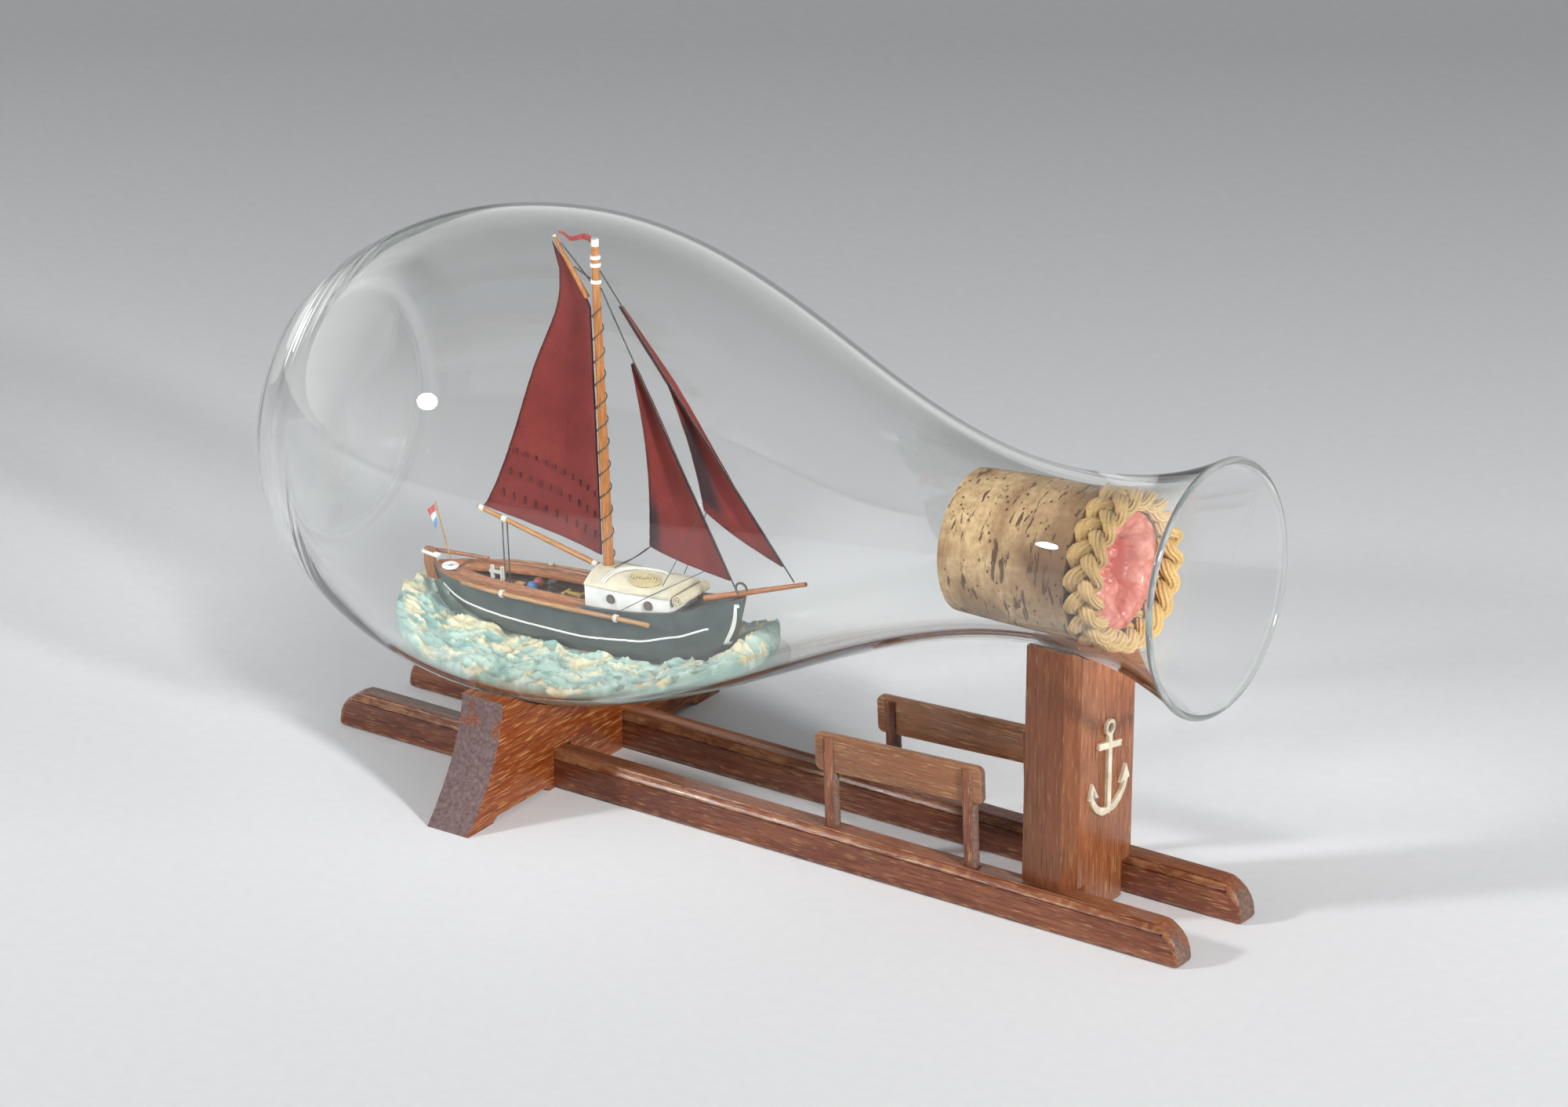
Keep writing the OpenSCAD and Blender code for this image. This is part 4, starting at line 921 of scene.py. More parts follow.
def paint_finish(name, colour, gloss=0.4, spread=0.3):
    made = Finish(name)
    low, high = toned(colour, 1 - spread), toned(colour, 1 + spread * 0.6)
    made.set("Base Color", made.ramp(made.noise(210), (0.3, low), (0.5, colour), (0.72, high)))
    brush = made.noise((300, 900, 900), 3.0)
    made.set("Roughness", made.span(brush, 0.3, 0.7, gloss, gloss + 0.15))
    made.bump(brush, 0.2, 0.0002)
    return made


hull_paint = paint_finish("green_black_paint", (0.072, 0.094, 0.092), 0.3)
bulwark_paint = wood_finish(
    "bulwark_wood", (0.23, 0.075, 0.027), (0.35, 0.128, 0.048), (0.46, 0.19, 0.08), (0.5, 0.3, 0.15),
    **SMALL_WORK,
)
white_paint = paint_finish("white_paint", (0.80, 0.80, 0.78), spread=0.12)
cream_paint = paint_finish("cream_paint", (0.66, 0.61, 0.47), 0.5, 0.14)
grey_paint = paint_finish("grey_paint", (0.16, 0.14, 0.13), 0.35)
yellow_paint = paint_finish("yellow_paint", (0.62, 0.44, 0.1))
deck_wood = wood_finish(
    "deck_wood", (0.30, 0.098, 0.034), (0.42, 0.155, 0.055), (0.53, 0.225, 0.088), (0.58, 0.34, 0.16),
    **SMALL_WORK,
)
well_wood = wood_finish(
    "dark_deck_wood", (0.06, 0.028, 0.016), (0.13, 0.065, 0.038), (0.22, 0.12, 0.075), (0.3, 0.2, 0.12),
    streak=420.0,
)
spar_wood = wood_finish(
    "spar_wood", (0.30, 0.125, 0.036), (0.46, 0.225, 0.075), (0.57, 0.32, 0.125), (0.66, 0.44, 0.21),
    **WHITTLED,
)
mast_wood = wood_finish(
    "mast_wood", (0.26, 0.085, 0.022), (0.42, 0.165, 0.045), (0.54, 0.25, 0.08), (0.62, 0.36, 0.14),
    ALONG_Z, **WHITTLED,
)
mast_height = mast_wood.axis(mast_wood.coords(), "Z")
mast_head = mast_wood.span(mast_height, MAST_PAINT_Z - 0.0001, MAST_PAINT_Z + 0.0001)
mast_tone = mast_wood.shader.inputs["Base Color"].links[0].from_socket
mast_wood.set("Base Color", mast_wood.mix(mast_head, mast_tone, (0.78, 0.77, 0.73)))
print("paints ready")

# %% [markdown]
# ## Hull
# The solid hull is a loft with flat facets. Its triangles joined in pairs make a cage of four-sided faces,
# which a Subdivision Surface rounds, with the gunwale's edges creased so that they stay crisp. Faces that
# look inwards get the bulwark's wood.

# %% Hull
def rounded_cage(node, crease_angle):
    bm = joined_copy(node)
    bmesh.ops.join_triangles(
        bm, faces=bm.faces, angle_face_threshold=radians(50), angle_shape_threshold=radians(179)
    )
    crease = bm.edges.layers.float.new("crease_edge")
    for edge in bm.edges:
        edge[crease] = 0.85 if edge_angle(edge) > radians(crease_angle) else 0.0
    return bm


def cage_piece(bm, name, finishes, node, levels, slot=None):
    piece = piece_from(bm, name, finishes, node, slot, matrix=None, outward=False)
    rounding = piece.modifiers.new("rounding", "SUBSURF")
    rounding.levels = levels
    rounding.render_levels = levels
    return piece


hull_mesh = rounded_cage("hull", 38.0)
hull_mesh.normal_update()
to_bottle = IN_BOTTLE.inverted()
for face in hull_mesh.faces:
    b, y, v = to_bottle @ face.calc_center_median()
    inward = face.normal.y * (1 if y > 0 else -1) < -0.3
    inboard = face.normal.z > 0.7 and (v < gunwale(hull_t(b)) - 0.4 or b < CABIN_AFT)
    face.material_index = 1 if (inward and v > DECK_V - 1.0) or inboard else 0
hull = cage_piece(hull_mesh, "hull_shell", [hull_paint, bulwark_paint], "hull", 2)
bpy.context.view_layer.update()
hull_skin = BVHTree.FromObject(hull, bpy.context.evaluated_depsgraph_get())
print("hull faces:", len(hull.data.polygons))

# %% Stripe, planks and stem band on the hull
STRIPE = [(31.5, -43.0), (46, -44.8), (64, -45.1), (85, -45.4), (103, -43.7), (114, -41.0), (122.5, -38.1)]
STRIPE_FROM = 32.5
STRIPE_STEPS = 90
STRIPE_R = 0.31
PAINT_T = 0.1


def on_skin(b, v, side, lift):
    """The point of the hull's outside at b and v, in the bottle's millimetres, lifted off it a little."""
    start = IN_BOTTLE @ Vector((b, side * 30.0, v))
    hit, normal, _, _ = hull_skin.ray_cast(start, Vector((0, -side, 0)))
    if hit is None:
        return None
    return to_bottle @ (hit + normal * lift * MM)


def skin_patch(name, finish, columns, rows, lift, place_at):
    """A thin patch on both sides of the hull; place_at turns shares along and across it into b and v."""
    bm = bmesh.new()
    for side in (-1, 1):
        lost = []
        for vert, s, t in grid_points(bm, columns, rows):
            place = on_skin(*place_at(s, t), side, lift)
            if place is None:
                lost.append(vert)
            else:
                vert.co = place
        bmesh.ops.delete(bm, geom=lost, context="VERTS")
    bmesh.ops.recalc_face_normals(bm, faces=bm.faces)
    bmesh.ops.solidify(bm, geom=bm.faces, thickness=PAINT_T)
    return piece_from(bm, name, [finish], smooth=40.0)


def plank_place(s, t):
    b = mix(34.0, CABIN_AFT + 0.6, s)
    return b, gunwale(hull_t(b)) - mix(0.25, 1.5, t)


def stem_place(s, t):
    width = 0.5 + 1.5 * sin(pi * (0.12 + 0.6 * t))
    b = mix(129.6, 126.0, t) + sin(pi * t) + width * (s - 0.5)
    return b, mix(-31.0, -43.0, t)


def stripe_place(share, side):
    b = mix(STRIPE_FROM, STRIPE[-1][0], share)
    p, q, t = between(STRIPE, b)
    v = mix(p[1], q[1], t * t * (3 - 2 * t) * 0.4 + t * 0.6)
    return on_skin(b, v + 0.14 * noise((b * 0.9, side, 0)), side, 0.02)


skin_patch("well_side_planks", deck_wood, 60, 4, 0.05, plank_place)
found = [[stripe_place(t, side) for t in shares(STRIPE_STEPS)] for side in (-1, 1)]
stripe_routes = [[p for p in route if p is not None] for route in found]
tube_piece("hull_stripe", stripe_routes, STRIPE_R, white_paint)
stem_band = skin_patch("stem_band", white_paint, 2, 12, 0.06, stem_place)
print("stripe points:", [len(r) for r in stripe_routes], "stem band faces:", len(stem_band.data.polygons))

# %% [markdown]
# ## Decks, strakes and cabin
# These small joiner's pieces have the right shape as solids. Rounded copies of them catch light on their
# edges as painted wood does, and each gets its own wood or paint.

# %% Deck pieces
RIM_R = 1.12
RIM_STEPS = 24
RIM_V = CABIN_V - 2.6
strake_wood = wood_finish(
    "strake_wood", (0.30, 0.14, 0.055), (0.46, 0.25, 0.105), (0.58, 0.35, 0.17), (0.66, 0.46, 0.25),
    **SMALL_WORK,
)
softened("deck", "well_planks", well_wood, 0.1)
softened("coaming", "coaming_board", deck_wood, 0.12, sharp=50.0)
softened("foredeck", "foredeck_cap", hull_paint, 0.1)
for side in ("near", "far"):
    strake = side + "_rubbing_strake"
    cage_piece(rounded_cage(strake, 60.0), side + "_strake_rod", [strake_wood], strake, 1, "deck_wood")
softened("cabin", "cabin_sides", white_paint, 0.25)
softened("cabin_roof", "cabin_top", cream_paint, 0.3)
dress("portholes", grey_paint)
rims = []
for b, y, lean in ((93.9, 8.12, 0.0), (105.3, 7.42, -0.105)):
    for side in (-1, 1):
        around = [ring(t, RIM_R) for t in shares(RIM_STEPS)[:-1]]
        rims.append([(b + ahead, side * (y + lean * ahead), RIM_V + rise) for ahead, rise in around])
tube_piece("porthole_rims", rims, 0.2, well_wood, closed=True)
print("deck pieces ready")

# %% [markdown]
# ## Putty sea
# The sea was pressed in with a spatula and painted: short peaked strokes, turquoise with cream crests. A
# grid is bent to the swell that the solid sea has, noise raises the strokes, and a second grid under it
# follows the glass. Their two borders are bridged, so the putty is closed all round.

# %% Sea
SEA_FROM = STERN_AT - 7.5
SEA_TO = STEM_AT + 5.0
SEA_MID = (SEA_FROM + SEA_TO) / 2
SEA_ROWS = 210
SEA_COLUMNS = 130
SEA_LEAST = 0.7
BOW_SWELL = 12.5
STERN_SWELL = 6.0
WAVE_H = 3.0
STROKE_H = 2.6
SHORE_LEN = 6.0
SHORE_DROP = 8.0
PRESSED = 0.4


def past_mid(b):
    return (b - SEA_MID) / (SEA_TO - SEA_MID)


def swell(b):
    return BOW_SWELL * max(0.0, past_mid(b)) ** 4 + STERN_SWELL * max(0.0, -past_mid(b)) ** 4


def wave(b, y):
    slow = sin(radians(b * 17 + y * 9))
    quick = sin(radians(b * 31 - y * 23))
    return WAVE_H * (0.5 + 0.3 * slow + 0.2 * quick)


def sea_bottom(b, y):
    return -sqrt((in_r(b) + PRESSED) ** 2 - y**2)


def sea_reach(b):
    room = (in_r(b) - 0.3) ** 2 - (BED + swell(b)) ** 2
    return 0.985 * sqrt(room) * sqrt(max(0.06, 1 - abs(past_mid(b)) ** 6))


def stroke(b, y):
    """Peaks of the spatula's strokes, from 0 to about 1."""
    bent = b * 0.16 + 0.5 * noise((b * 0.1, y * 0.1, 5.0))
    ridge = 1.0 - abs(noise((bent, y * 0.3, 0.0)))
    fine = 1.0 - abs(noise((b * 0.42, y * 0.6, 3.0)))
    lump = noise((b * 0.75, y * 0.75, 7.0))
    return 0.66 * ridge**3 + 0.22 * fine**3 + 0.14 * lump


def sea_top(b, y):
    beside = 1.0
    if STERN_AT < b < STEM_AT:
        beside = clamp((abs(y) / half_beam(hull_t(b)) - 0.66) / 0.12)
    water = BED + swell(b) + wave(b, y) * 0.75 + STROKE_H * (stroke(b, y) - 0.4)
    water -= SHORE_DROP * max(0.0, (b - SEA_TO) / SHORE_LEN + 1.0) ** 2
    return max(mix(BED - 0.05, water, beside), sea_bottom(b, y) + SEA_LEAST)


sea_mesh = bmesh.new()
crest = sea_mesh.verts.layers.float.new("crest")
for height_at in (sea_top, sea_bottom):
    for vert, s, t in grid_points(sea_mesh, SEA_ROWS, SEA_COLUMNS):
        b = mix(SEA_FROM, SEA_TO, s)
        y = vert.co.y * sea_reach(b)
        if height_at is sea_top:
            vert[crest] = stroke(b, y) + 0.35 * noise((b * 0.07, y * 0.07, 9.0))
        vert.co = (b, y, height_at(b, y))
bmesh.ops.bridge_loops(sea_mesh, edges=[e for e in sea_mesh.edges if e.is_boundary])

putty = Finish(
    "sea_putty", Roughness=0.42, Subsurface_Weight=0.05, Subsurface_Radius=(0.001, 0.0015, 0.0015)
)
putty_blue = putty.ramp(
    putty.noise(120, 5.0, 0.6),
    (0.3, (0.17, 0.34, 0.31)), (0.5, (0.36, 0.53, 0.47)), (0.7, (0.58, 0.71, 0.62)),
)
putty_patch = putty.span(putty.noise(100, 6.0, 0.6, 0.5), 0.3, 0.7, -0.4, 0.5)
foam = putty.math("ADD", putty.times(putty.attribute("crest"), 0.6), putty_patch)
foam_tone = putty.ramp(putty.noise(300), (0.3, (0.62, 0.56, 0.33)), (0.7, (0.80, 0.76, 0.56)))
putty.set("Base Color", putty.mix(putty.span(foam, 0.42, 0.52), putty_blue, foam_tone))
putty.bump(putty.noise((650, 900, 650)), 0.45, 0.0005)
sea = piece_from(sea_mesh, "putty_sea", [putty], "sea", smooth=75.0)
print("sea faces:", len(sea.data.polygons))

# %% [markdown]
# ## Spars
# Mast, boom, gaff and bowsprit are whittled round sticks. The solids are already tapered, so they only
# need the grain of the wood along each of them.

# %% Spars
SPARS = {"mast": mast_wood, "boom": spar_wood, "gaff": mast_wood, "bowsprit": deck_wood}
for node, finish in SPARS.items():
    bm = merged_copy(node)
    piece_from(bm, node + "_stick", [finish], node, "spar_wood", matrix=None, smooth=40.0, outward=False)
dress("mast_bands", white_paint)
print("spars ready")

# %% [markdown]
# ## Sails
# The sails are dyed cotton, set and stiffened with a slight belly. Each is a grid of points between its
# after edge and its fore edge, with the belly added sideways, and its flat size is measured from the
# mesh. A simulation could fill them, but real ones are glued stiff, so the curve is drawn.

# %% Sail cloth finish
def cloth_finish(name, dark, middle, light, shade):
    """Dyed cloth; shade is the tone where the point attribute shaded darkens it."""
    made = Finish(name, Roughness=0.9)
    weave = made.noise(2600, 2.0, 0.7)
    cloud = made.noise(90, 5.0, 0.6)
    both = made.math("ADD", made.times(weave, 0.35), made.times(cloud, 0.65))
    tone = made.ramp(both, (0.3, dark), (0.5, middle), (0.7, light))
    tone = made.mix(made.span(made.cells(330), 0.06, 0.1, 0.5, 0.0), tone, (0.02, 0.012, 0.014))
    made.set("Base Color", made.mix(made.attribute("shaded"), tone, shade))
    made.bump(weave, 0.35, 0.0002)
    return made


sail_cloth = cloth_finish(
    "sail_cloth", (0.120, 0.014, 0.011), (0.170, 0.019, 0.015), (0.215, 0.029, 0.022), (0.03, 0.012, 0.015)
)
print(sail_cloth.name)

# %% Sail shapes
SAIL_BELLY = 2.8
SAIL_ACROSS = 44
SAIL_UP = 72
SAIL_T = 0.3
JIB_CLOTH = 0.72
SPAR_R = 0.8
MAST_R = 1.5
MAST_HEAD_R = 1.0
CORD_R = 0.25
CORD_ROOM = 0.1
BOOM_V = ROOF_V - 1.0
BOOM_LEN = 40.0
BOOM_RISE = 9.6
THROAT_V = MAST_TOP - 15.8
LUFF_B = MAST_AT - MAST_R - 2 * CORD_R - CORD_ROOM - 0.25
SPRIT_SLOPE = 0.31
SPRIT_V = RAIL_V + BOW_RISE + 1.1
STAY_ROOM = Vector((-0.6, 0, -0.1))
HEAD_ROOM = Vector((0.5, 0, 0.2))


def at(b, v):
    """A place in the ship's middle plane."""
    return Vector((b, 0, v))


def mast_r_at(v):
    return mix(MAST_R, MAST_HEAD_R, (v - DECK_V) / (MAST_TOP - DECK_V))


def stay_top(drop):
    return at(MAST_AT + mast_r_at(MAST_TOP - drop) + 0.35, MAST_TOP - drop)


def sprit(out):
    return at(STEM_AT + out, SPRIT_V + out * SPRIT_SLOPE)


boom_fore = at(CABIN_AFT - 0.3 - SPAR_R * 0.5, BOOM_V)
boom_aft = boom_fore + at(-sqrt(BOOM_LEN**2 - BOOM_RISE**2), BOOM_RISE)
gaff_throat = at(MAST_AT - MAST_R - SPAR_R - 0.6, THROAT_V)
gaff_peak = at(MAST_AT - MAST_R - 11.4, MAST_TOP - 0.9)
sprit_in = sprit(-12.5)
sprit_tip = sprit(19.5)
fore_top = stay_top(12.5)
fore_foot = sprit_in.lerp(sprit_tip, 0.31) + at(0, 1.25)
jib_top = stay_top(8.0)
jib_foot = sprit_in.lerp(sprit_tip, 0.885) + at(0, 1.0)
stay_head = fore_top.lerp(fore_foot, 0.25) + STAY_ROOM
stay_tack = fore_top.lerp(fore_foot, 0.97) + STAY_ROOM
stay_clew = stay_tack + at(-25.2, 5.0)
jib_head = jib_top.lerp(jib_foot, 0.12) + STAY_ROOM
jib_tack = jib_top.lerp(jib_foot, 0.95) + STAY_ROOM
jib_clew = jib_tack + at(-24.0, 11.2)
main_tack = at(LUFF_B, BOOM_V + 3.2)
main_throat = at(LUFF_B, THROAT_V - 2.6)
main_clew = boom_fore.lerp(boom_aft, 0.95) + at(0, SPAR_R + 0.35)
main_peak = gaff_throat.lerp(gaff_peak, 0.96) + at(-0.9, -1.2)


def main_leech(w):
    hollow = 3.9 * (4 * w * (1 - w)) ** 0.6
    shoulder = 3.4 * exp(-((w - 0.8) / 0.18) ** 2) * min(1.0, (1 - w) / 0.08)
    return main_clew.lerp(main_peak, w) + at(hollow + shoulder, 0)


def stay_leech(w):
    return stay_clew.lerp(stay_head - HEAD_ROOM, w) + at(2.0 * sin(pi * w), 0)


def jib_leech(w):
    narrow = max(0.03, 1.0 - w / JIB_CLOTH)
    hollow = 1.2 * sin(pi * min(1.0, w / JIB_CLOTH))
    return jib_tack.lerp(jib_head, w) + (jib_clew - jib_tack) * narrow + at(hollow, 0)


def sail_point(leech, luff, foot_round, u, w):
    """The place on a sail at u from after edge to fore edge and w from foot to head."""
    draft = u**1.4
    belly = SAIL_BELLY * 4 * draft * (1 - draft) * sin(pi * (0.12 + 0.8 * w))
    drop = foot_round * 4 * u * (1 - u) * (1 - w) ** 3
    return leech(w).lerp(luff(w), u) + Vector((0, belly, -drop))


SAILS = {
    "mainsail": (main_leech, lambda w: main_tack.lerp(main_throat, w), 0.0),
    "staysail": (stay_leech, lambda w: stay_tack.lerp(stay_head, w), 1.2),
    "jib": (jib_leech, lambda w: jib_tack.lerp(jib_head, w), 1.6),
}
print("mainsail corners:", [round(x, 1) for x in main_clew], [round(x, 1) for x in main_peak])

# %% Sails as cut cloth
BANDS = {"staysail": (0.16, -0.2, 0.34), "jib": (0.36, 0.0, 0.6)}
SAIL_HELD = {"mainsail": ["boom", "gaff", "mast"], "staysail": ["forestay"], "jib": ["jib_stay"]}


def band(u, w, wide, low, high):
    """How dark the leech's shaded band is at a place of the sail."""
    end = clamp((w - low) / 0.08) * clamp((high - w) / 0.15)
    return min(1.0, max(0.0, 1.0 - u / wide) * 2.0) * end


def cut_sail(name, leech, luff, foot_round):
    bm = bmesh.new()
    bm.loops.layers.uv.new("cloth")
    shaded = bm.verts.layers.float.new("shaded")
    for vert, u, w in grid_points(bm, SAIL_ACROSS, SAIL_UP, calc_uvs=True):
        if name in BANDS:
            vert[shaded] = band(u, w, *BANDS[name])
        place = sail_point(leech, luff, foot_round, u, w)
        pucker = 0.10 * noise(place * 0.25) + 0.05 * noise(place * 0.8)
        vert.co = place + Vector((0, pucker, 0))
    flat_area = sum(f.calc_area() for f in bm.faces) * MM * MM
    luff_axis = (luff(1) - luff(0)).normalized()
    rises = [(v.co - luff(0)).dot(luff_axis) for v in bm.verts]
    wide = max((v.co - luff(0) - luff_axis * rise).length for v, rise in zip(bm.verts, rises)) * MM
    tall = (max(rises) - min(rises)) * MM
    bmesh.ops.recalc_face_normals(bm, faces=bm.faces)
    bmesh.ops.solidify(bm, geom=bm.faces, thickness=SAIL_T)
    bmesh.ops.translate(bm, verts=bm.verts, vec=(0, SAIL_T / 2, 0))
    sail = piece_from(bm, name + "_cloth", [sail_cloth], name)
    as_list(SAIL_HELD[name])
    print(name, "cut", round(wide, 4), "by", round(tall, 4), "area", round(flat_area * 1e6), "mm2")


for name, shape in SAILS.items():
    cut_sail(name, *shape)

# %% [markdown]
# ## Threads
# Rigging is sewing thread, stiff with glue. A bevelled curve is the usual way to a round thread, turned
# into a mesh at the end. Lines that are slack hang in a shallow bow; stays are straight.

# %% Thread finishes
def thread_finish(name, dark, light):
    made = Finish(name, Roughness=0.8)
    fuzz = made.noise(2400, 3.0, 0.7)
    made.set("Base Color", made.ramp(fuzz, (0.3, dark), (0.7, light)))
    made.bump(fuzz, 0.5, 0.0002)
    return made


dark_thread = thread_finish("dark_thread", (0.035, 0.03, 0.028), (0.11, 0.1, 0.095))
white_thread = thread_finish("white_thread", (0.62, 0.6, 0.55), (0.86, 0.85, 0.81))
straw_thread = thread_finish("straw_thread", (0.42, 0.34, 0.17), (0.68, 0.58, 0.34))
print("threads ready")

# %% Standing and running rigging
STRAKE_FULL = 0.62
HANG = SPAR_R * 0.9 + CORD_R + CORD_ROOM


def strake_point(side, t):
    full = min(t, STRAKE_FULL)
    return Vector((STERN_AT + HULL_LEN * t, side * (half_beam(full) * 0.99 + 1.14), gunwale(full) - 0.9))


def halyard(t):
    v = MAST_TOP - 9.6 - 2.2 * t
    return bowed(gaff_throat.lerp(gaff_peak, t) + at(HANG, 0.2), at(MAST_AT - mast_r_at(v) - 0.35, v))


def mainsheet(y):
    hold = boom_fore.lerp(boom_aft, 0.78)
    return bowed((hold.x + y, y, PLANK_V + 0.05), hold + Vector((y, y, -SPAR_R - 0.12)))


def stay_sheet(side):
    clew = stay_clew + Vector((-0.4, side * 0.6, -0.6))
    return bowed(clew, (MAST_AT + 3, side * 1.6, roof_height(1.6) + 0.3), 0.5)


def jib_sheet(side):
    clew = jib_clew + Vector((-0.3, side * 1.6, -0.6))
    return bowed(clew, (CABIN_FORE - 3, side * 5, roof_height(5) + 0.4), 0.3)


sheet_hold = stay_clew.lerp(stay_tack, 0.67) + Vector((0, 0.4, -0.75))
sheet_bend = Vector((MAST_AT + 18.7, -8.2, CABIN_V + 0.7))
sheet_tie = strake_point(-1, 0.67) + at(0, 1.39)
foresheet = bowed(sheet_hold, sheet_bend) + bowed(sheet_bend, sheet_tie)[1:]
for name, node, routes, radius in (
    ("forestay_thread", "forestay", [bowed(fore_top, fore_foot)], 0.19),
    ("jib_stay_thread", "jib_stay", [bowed(jib_top, jib_foot)], 0.19),
    ("peak_halyard_threads", "peak_halyards", [halyard(t) for t in (0.5, 0.88)], 0.19),
    ("mainsheet_threads", "mainsheet", [mainsheet(y) for y in (-0.45, 0.45)], 0.2),
    ("staysail_sheet_threads", "staysail_sheets", [stay_sheet(s) for s in (-1, 1)], 0.18),
    ("jib_sheet_threads", "jib_sheets", [jib_sheet(s) for s in (-1, 1)], 0.11),
    ("foresheet_thread", "foresheet", [foresheet], 0.11),
):
    tube_piece(name, routes, radius, dark_thread, node)
print("rigging ready")

# %% Lacing, lashings and knots
LACING_TURNS = 11
TURN_STEPS = 24
LASHING_TURNS = 2.5
KNOT_TURNS = 5
KNOT_STEPS = 18
ROOF_LINE = [
    (91.2, -7.6), (91.9, -5.2), (93.6, -2.4), (96.4, -0.2), (99.8, 1.2), (103.6, 1.6), (107.2, 0.8),
]
ROOF_LINE_STEPS = 6


def coil(centre, lay, radius, pitch, turns, steps):
    """Turns of thread round a stick that runs along lay in the ship's middle plane."""
    across = Vector(ALONG_Y)
    upright = lay.cross(across)
    places = []
    for t in shares(round(turns * steps)):
        y, v = ring(turns * t, radius)
        places.append(centre + lay * pitch * turns * (t - 0.5) + across * y + upright * v)
    return places


def lacing_point(t):
    v = mix(BOOM_V + 3.4, THROAT_V - 2.0, t)
    ahead, y = ring(LACING_TURNS * t, mast_r_at(v) + 0.3)
    return (MAST_AT + ahead, y, v)


lacing = [lacing_point(t) for t in shares(LACING_TURNS * TURN_STEPS)]
tube_piece("mast_lacing_thread", [lacing], 0.16, dark_thread, "mast_lacing")

lashings = [
    coil(strake_point(side, t), Vector(ALONG_X), 0.9, 0.42, LASHING_TURNS, TURN_STEPS)
    for side in (-1, 1) for t in (0.3, 0.67)
]
tube_piece("strake_lashings", lashings, 0.17, white_thread, "strake_ties")

boom_lay = (boom_aft - boom_fore).normalized()
knots = [
    coil(boom_fore.lerp(boom_aft, t) - boom_lay * 0.05, boom_lay, r + 0.1, 0.3, KNOT_TURNS, KNOT_STEPS)
    for t, r in ((0.03, SPAR_R), (0.78, 0.68), (0.97, 0.65))
]
tube_piece("boom_knots", knots, 0.15, white_thread)

roof_turns = []
for shift in (0.0, 0.75):
    roof_turn = []
    for p, q in zip(ROOF_LINE, ROOF_LINE[1:]):
        for t in shares(ROOF_LINE_STEPS)[:-1]:
            b = mix(p[0], q[0], t) - shift
            y = mix(p[1], q[1], t) + shift * 0.6
            roof_turn.append((b, y, roof_height(y) + 0.36 + 0.15 * noise((b, y, shift))))
    roof_turns.append(roof_turn)
tube_piece("roof_rope", roof_turns, 0.3, white_thread)
print("lacing points:", len(lacing))

# %% [markdown]
# ## Sewn edges and reef points
# Each sail has a dark line sewn round it, and the mainsail has three rows of short reef points, which
# hang from eyelets on both faces. They lie on the cloth, so both take their places from the sail's own
# function and step off it by half the cloth's thickness.

# %% Sewn edges and reef points
EDGE_STEPS = 60
HEAD_STEPS = 12
FOOT_STEPS = 30
REEF_ROWS = (0.085, 0.165, 0.245)
REEF_GAPS = 9
REEF_STEP = 0.26
bolt_thread = thread_finish("bolt_thread", (0.045, 0.012, 0.011), (0.12, 0.026, 0.021))
sail_edge = [(0.0, t) for t in shares(EDGE_STEPS)[:-1]]
sail_edge += [(t, 1.0) for t in shares(HEAD_STEPS)[:-1]]
sail_edge += [(1.0, 1.0 - t) for t in shares(EDGE_STEPS)[:-1]]
sail_edge += [(1.0 - t, 0.0) for t in shares(FOOT_STEPS)[:-1]]
for name, shape in SAILS.items():
    places = [sail_point(*shape, u, w) for u, w in sail_edge]
    sewn = [p + at(0.1 * noise(p * 1.7), 0.1 * noise(p * 2.1)) for p in places]
    tube_piece(name + "_bolt_rope", [sewn], 0.135, bolt_thread, slot="dark_thread", closed=True)

reef_points = []
for w in REEF_ROWS:
    for t in shares(REEF_GAPS):
        eye = sail_point(*SAILS["mainsail"], 0.07 + 0.87 * t, w)
        fall = 2.4 - 4.0 * w + 0.5 * noise(eye * 3.0)
        lean = 0.3 * noise(eye * 2.0)
        for side in (-1, 1):
            step = Vector((0, side * REEF_STEP, 0))
            bend = eye + step + at(lean * 0.4, -0.4 * fall)
            reef_points.append([eye + step * 0.5, bend, eye + step + at(lean, -fall)])
tube_piece("reef_point_threads", reef_points, 0.17, bolt_thread, slot="dark_thread")
print("reef points:", len(reef_points))

# %% [markdown]
# ## Flags
# The pennant and the ensign are scraps of painted paper. They are too narrow to count as cut cloth, so
# they are just waved grids. The ensign hangs in a fold, with three plain bands of colour.

# %% Flags
FLAG_T = 0.16
PENNANT_LEN = 10.4
ENSIGN_WHITE = (0.76, 0.75, 0.72)
flag_red = cloth_finish(
    "flag_red", (0.5, 0.05, 0.04), (0.62, 0.08, 0.07), (0.72, 0.12, 0.1), (0.3, 0.03, 0.03)
)
pennant_mesh = bmesh.new()
pennant_mesh.verts.layers.float.new("shaded")
for vert, s, t in grid_points(pennant_mesh, 28, 4):
    rise = 0.5 * sin(tau * 1.25 * s) + vert.co.y * mix(0.8, 0.25, s)
    flutter = 0.5 * sin(9.0 * s) * s
    vert.co = (MAST_AT - 1.1 - PENNANT_LEN * s, flutter, MAST_TOP - 0.3 + rise)
bmesh.ops.solidify(pennant_mesh, geom=pennant_mesh.faces, thickness=FLAG_T)
piece_from(pennant_mesh, "red_pennant", [flag_red], "pennant")

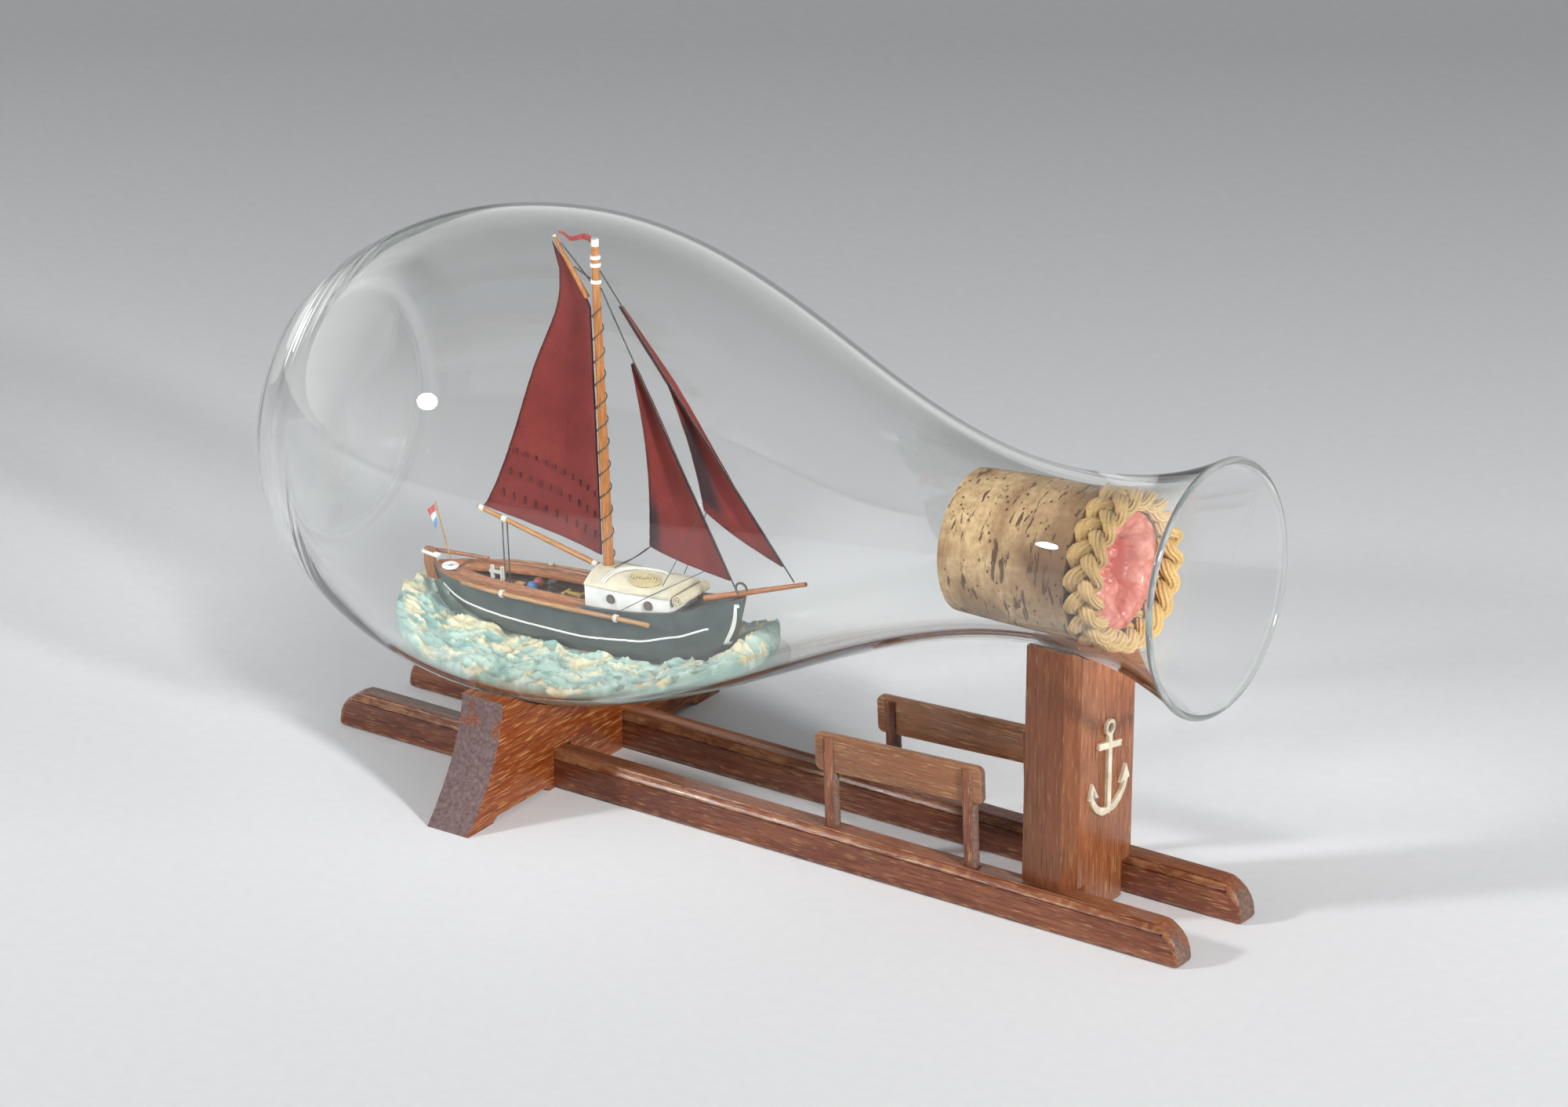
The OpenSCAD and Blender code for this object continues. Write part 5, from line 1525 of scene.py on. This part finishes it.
ensign_paint = Finish("ensign_paint", Roughness=0.85)
ensign_paint.set("Base Color", ensign_paint.ramp(
    ensign_paint.attribute("row"), (0.32, (0.52, 0.09, 0.08)), (0.36, ENSIGN_WHITE),
    (0.64, ENSIGN_WHITE), (0.68, (0.12, 0.28, 0.56)),
))
ensign_paint.bump(ensign_paint.noise(1800), 0.4, 0.0002)
staff_foot = at(STERN_AT + 5.4, gunwale(0.045) - 0.7)
staff_top = at(STERN_AT + 0.9, gunwale(0) + 17.2)
hoist = staff_top.lerp(staff_foot, 0.04)
fly = staff_top.lerp(staff_foot, 0.2)
ensign_mesh = bmesh.new()
row = ensign_mesh.verts.layers.float.new("row")
for vert, s, t in grid_points(ensign_mesh, 10, 14):
    vert[row] = t
    upper = (hoist + at(-0.55, 0)).lerp(hoist + at(-2.95, -2.2), s)
    lower = (fly + at(-0.55, -2.4)).lerp(fly + at(-1.45, -4.6), s)
    vert.co = upper.lerp(lower, t) + Vector((0, 0.35 * sin(6.0 * s + 2.0 * t) * s, 0))
tube_piece("flagstaff_stick", [bowed(staff_foot, staff_top)], 0.2, spar_wood, "flagstaff")
bmesh.ops.solidify(ensign_mesh, geom=ensign_mesh.faces, thickness=FLAG_T)
piece_from(ensign_mesh, "small_ensign", [ensign_paint], "ensign", "flag_red")
print("flags ready")

# %% [markdown]
# ## Gear on the roof and the deck
# The mat is line coiled flat, so it is one spiral thread that follows the roof's crown. The roll is a
# cover rolled up: a strip of cloth bent into a spiral, pulled out across the ship and given thickness.

# %% Roof mat and bow roll
MAT_TURNS = 5
MAT_STEPS = 40
MAT_AT = MAST_AT + 14.2
MAT_Y = -3.84
MAT_HALF_LEN, MAT_HALF_WIDE = 5.1, 2.75
ROLL_R = 2.0
ROLL_TURNS = 2.6
ROLL_START = 0.6 / tau
ROLL_EDGES = 65
ROLL_STEPS = 14


def mat_point(t):
    ahead, across = ring(MAT_TURNS * t, 0.12 + 0.86 * t)
    y = MAT_Y + MAT_HALF_WIDE * across
    return (MAT_AT + MAT_HALF_LEN * ahead, y, roof_height(y) + 0.12 + 0.36)


mat_route = [mat_point(t) for t in shares(MAT_TURNS * MAT_STEPS)]
tube_piece("roof_mat_coil", [mat_route], 0.33, straw_thread, "roof_mat")

cover = cloth_finish(
    "cream_cloth", (0.5, 0.42, 0.26), (0.66, 0.59, 0.42), (0.78, 0.72, 0.56), (0.3, 0.24, 0.15)
)
roll_at = CABIN_FORE + 0.6 + ROLL_R
roll_wide = 1.57 * half_beam(hull_t(roll_at))
roll_v = gunwale(hull_t(roll_at + ROLL_R)) + ROLL_R + 0.1
roll_mesh = bmesh.new()
roll_mesh.verts.layers.float.new("shaded")
roll_line = []
for t in shares(ROLL_EDGES):
    ahead, rise = ring(ROLL_TURNS * t + ROLL_START, mix(0.35, ROLL_R - 0.2, t))
    roll_line.append(roll_mesh.verts.new((roll_at + ahead, -roll_wide / 2, roll_v + rise)))
roll_edges = [roll_mesh.edges.new(pair) for pair in zip(roll_line, roll_line[1:])]
current = roll_edges
for i in range(ROLL_STEPS):
    grown = bmesh.ops.extrude_edge_only(roll_mesh, edges=current)["geom"]
    moved = [g for g in grown if isinstance(g, bmesh.types.BMVert)]
    current = [g for g in grown if isinstance(g, bmesh.types.BMEdge) and all(v in moved for v in g.verts)]
    bmesh.ops.translate(roll_mesh, verts=moved, vec=(0, roll_wide / ROLL_STEPS, 0))
bmesh.ops.recalc_face_normals(roll_mesh, faces=roll_mesh.faces)
bmesh.ops.solidify(roll_mesh, geom=roll_mesh.faces, thickness=0.3)
roll = piece_from(roll_mesh, "bow_roll_cover", [cover], "bow_roll")

# %% Small gear
TAPE_SIZE = (5.2, 1.9, 1.0)
TAPE_AT = (29.4, 0.0, -36.0)
TAPE_LEAN = radians(8)
rudder_wood = wood_finish(
    "rudder_wood", (0.2, 0.07, 0.026), (0.34, 0.13, 0.05), (0.44, 0.19, 0.08), (0.5, 0.3, 0.15),
    ALONG_Z, **SMALL_WORK,
)
float_paint = Finish("float_paint", Roughness=0.35)
float_side = float_paint.span(float_paint.axis(float_paint.coords(), "Y"), 0.0002, 0.0004)
float_cloud = float_paint.noise(600)
float_blue = float_paint.ramp(float_cloud, (0.3, (0.03, 0.10, 0.30)), (0.7, (0.07, 0.2, 0.46)))
float_red = float_paint.ramp(float_cloud, (0.3, (0.24, 0.04, 0.03)), (0.7, (0.42, 0.09, 0.06)))
float_paint.set("Base Color", float_paint.mix(float_side, float_blue, float_red))
dark_wire = paint_finish("dark_wire", (0.09, 0.075, 0.065), 0.35, 0.4)
for node, finish in (
    ("rudder", rudder_wood), ("tiller", rudder_wood), ("bow_anchor", dark_wire),
    ("life_ring", white_paint), ("mooring_bitts", white_paint), ("deck_block", spar_wood),
    ("deck_floats", float_paint), ("deck_winch", dark_wire), ("deck_anchor", yellow_paint),
):
    dress(node, finish)
tape_mesh = bmesh.new()
bmesh.ops.create_cube(tape_mesh, size=1.0)
bmesh.ops.scale(tape_mesh, verts=tape_mesh.verts, vec=TAPE_SIZE)
rounded_edges(tape_mesh, tape_mesh.edges[:], 0.2)
tape_place = IN_BOTTLE @ Matrix.Translation(TAPE_AT) @ Matrix.Rotation(TAPE_LEAN, 4, "Y")
piece_from(tape_mesh, "rudder_tape", [white_paint], matrix=tape_place, smooth=40.0, outward=False)
print("gear dressed")

# %% [markdown]
# ## Sizes
# The dressed model has to stay in the box of the solid parts. Both boxes are printed, so that they can
# be compared after each render.

# %% Sizes
visual_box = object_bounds()
for title, box in (("solids", cad_box), ("dressed", visual_box)):
    print(title, [round(x, 4) for p in box for x in p])
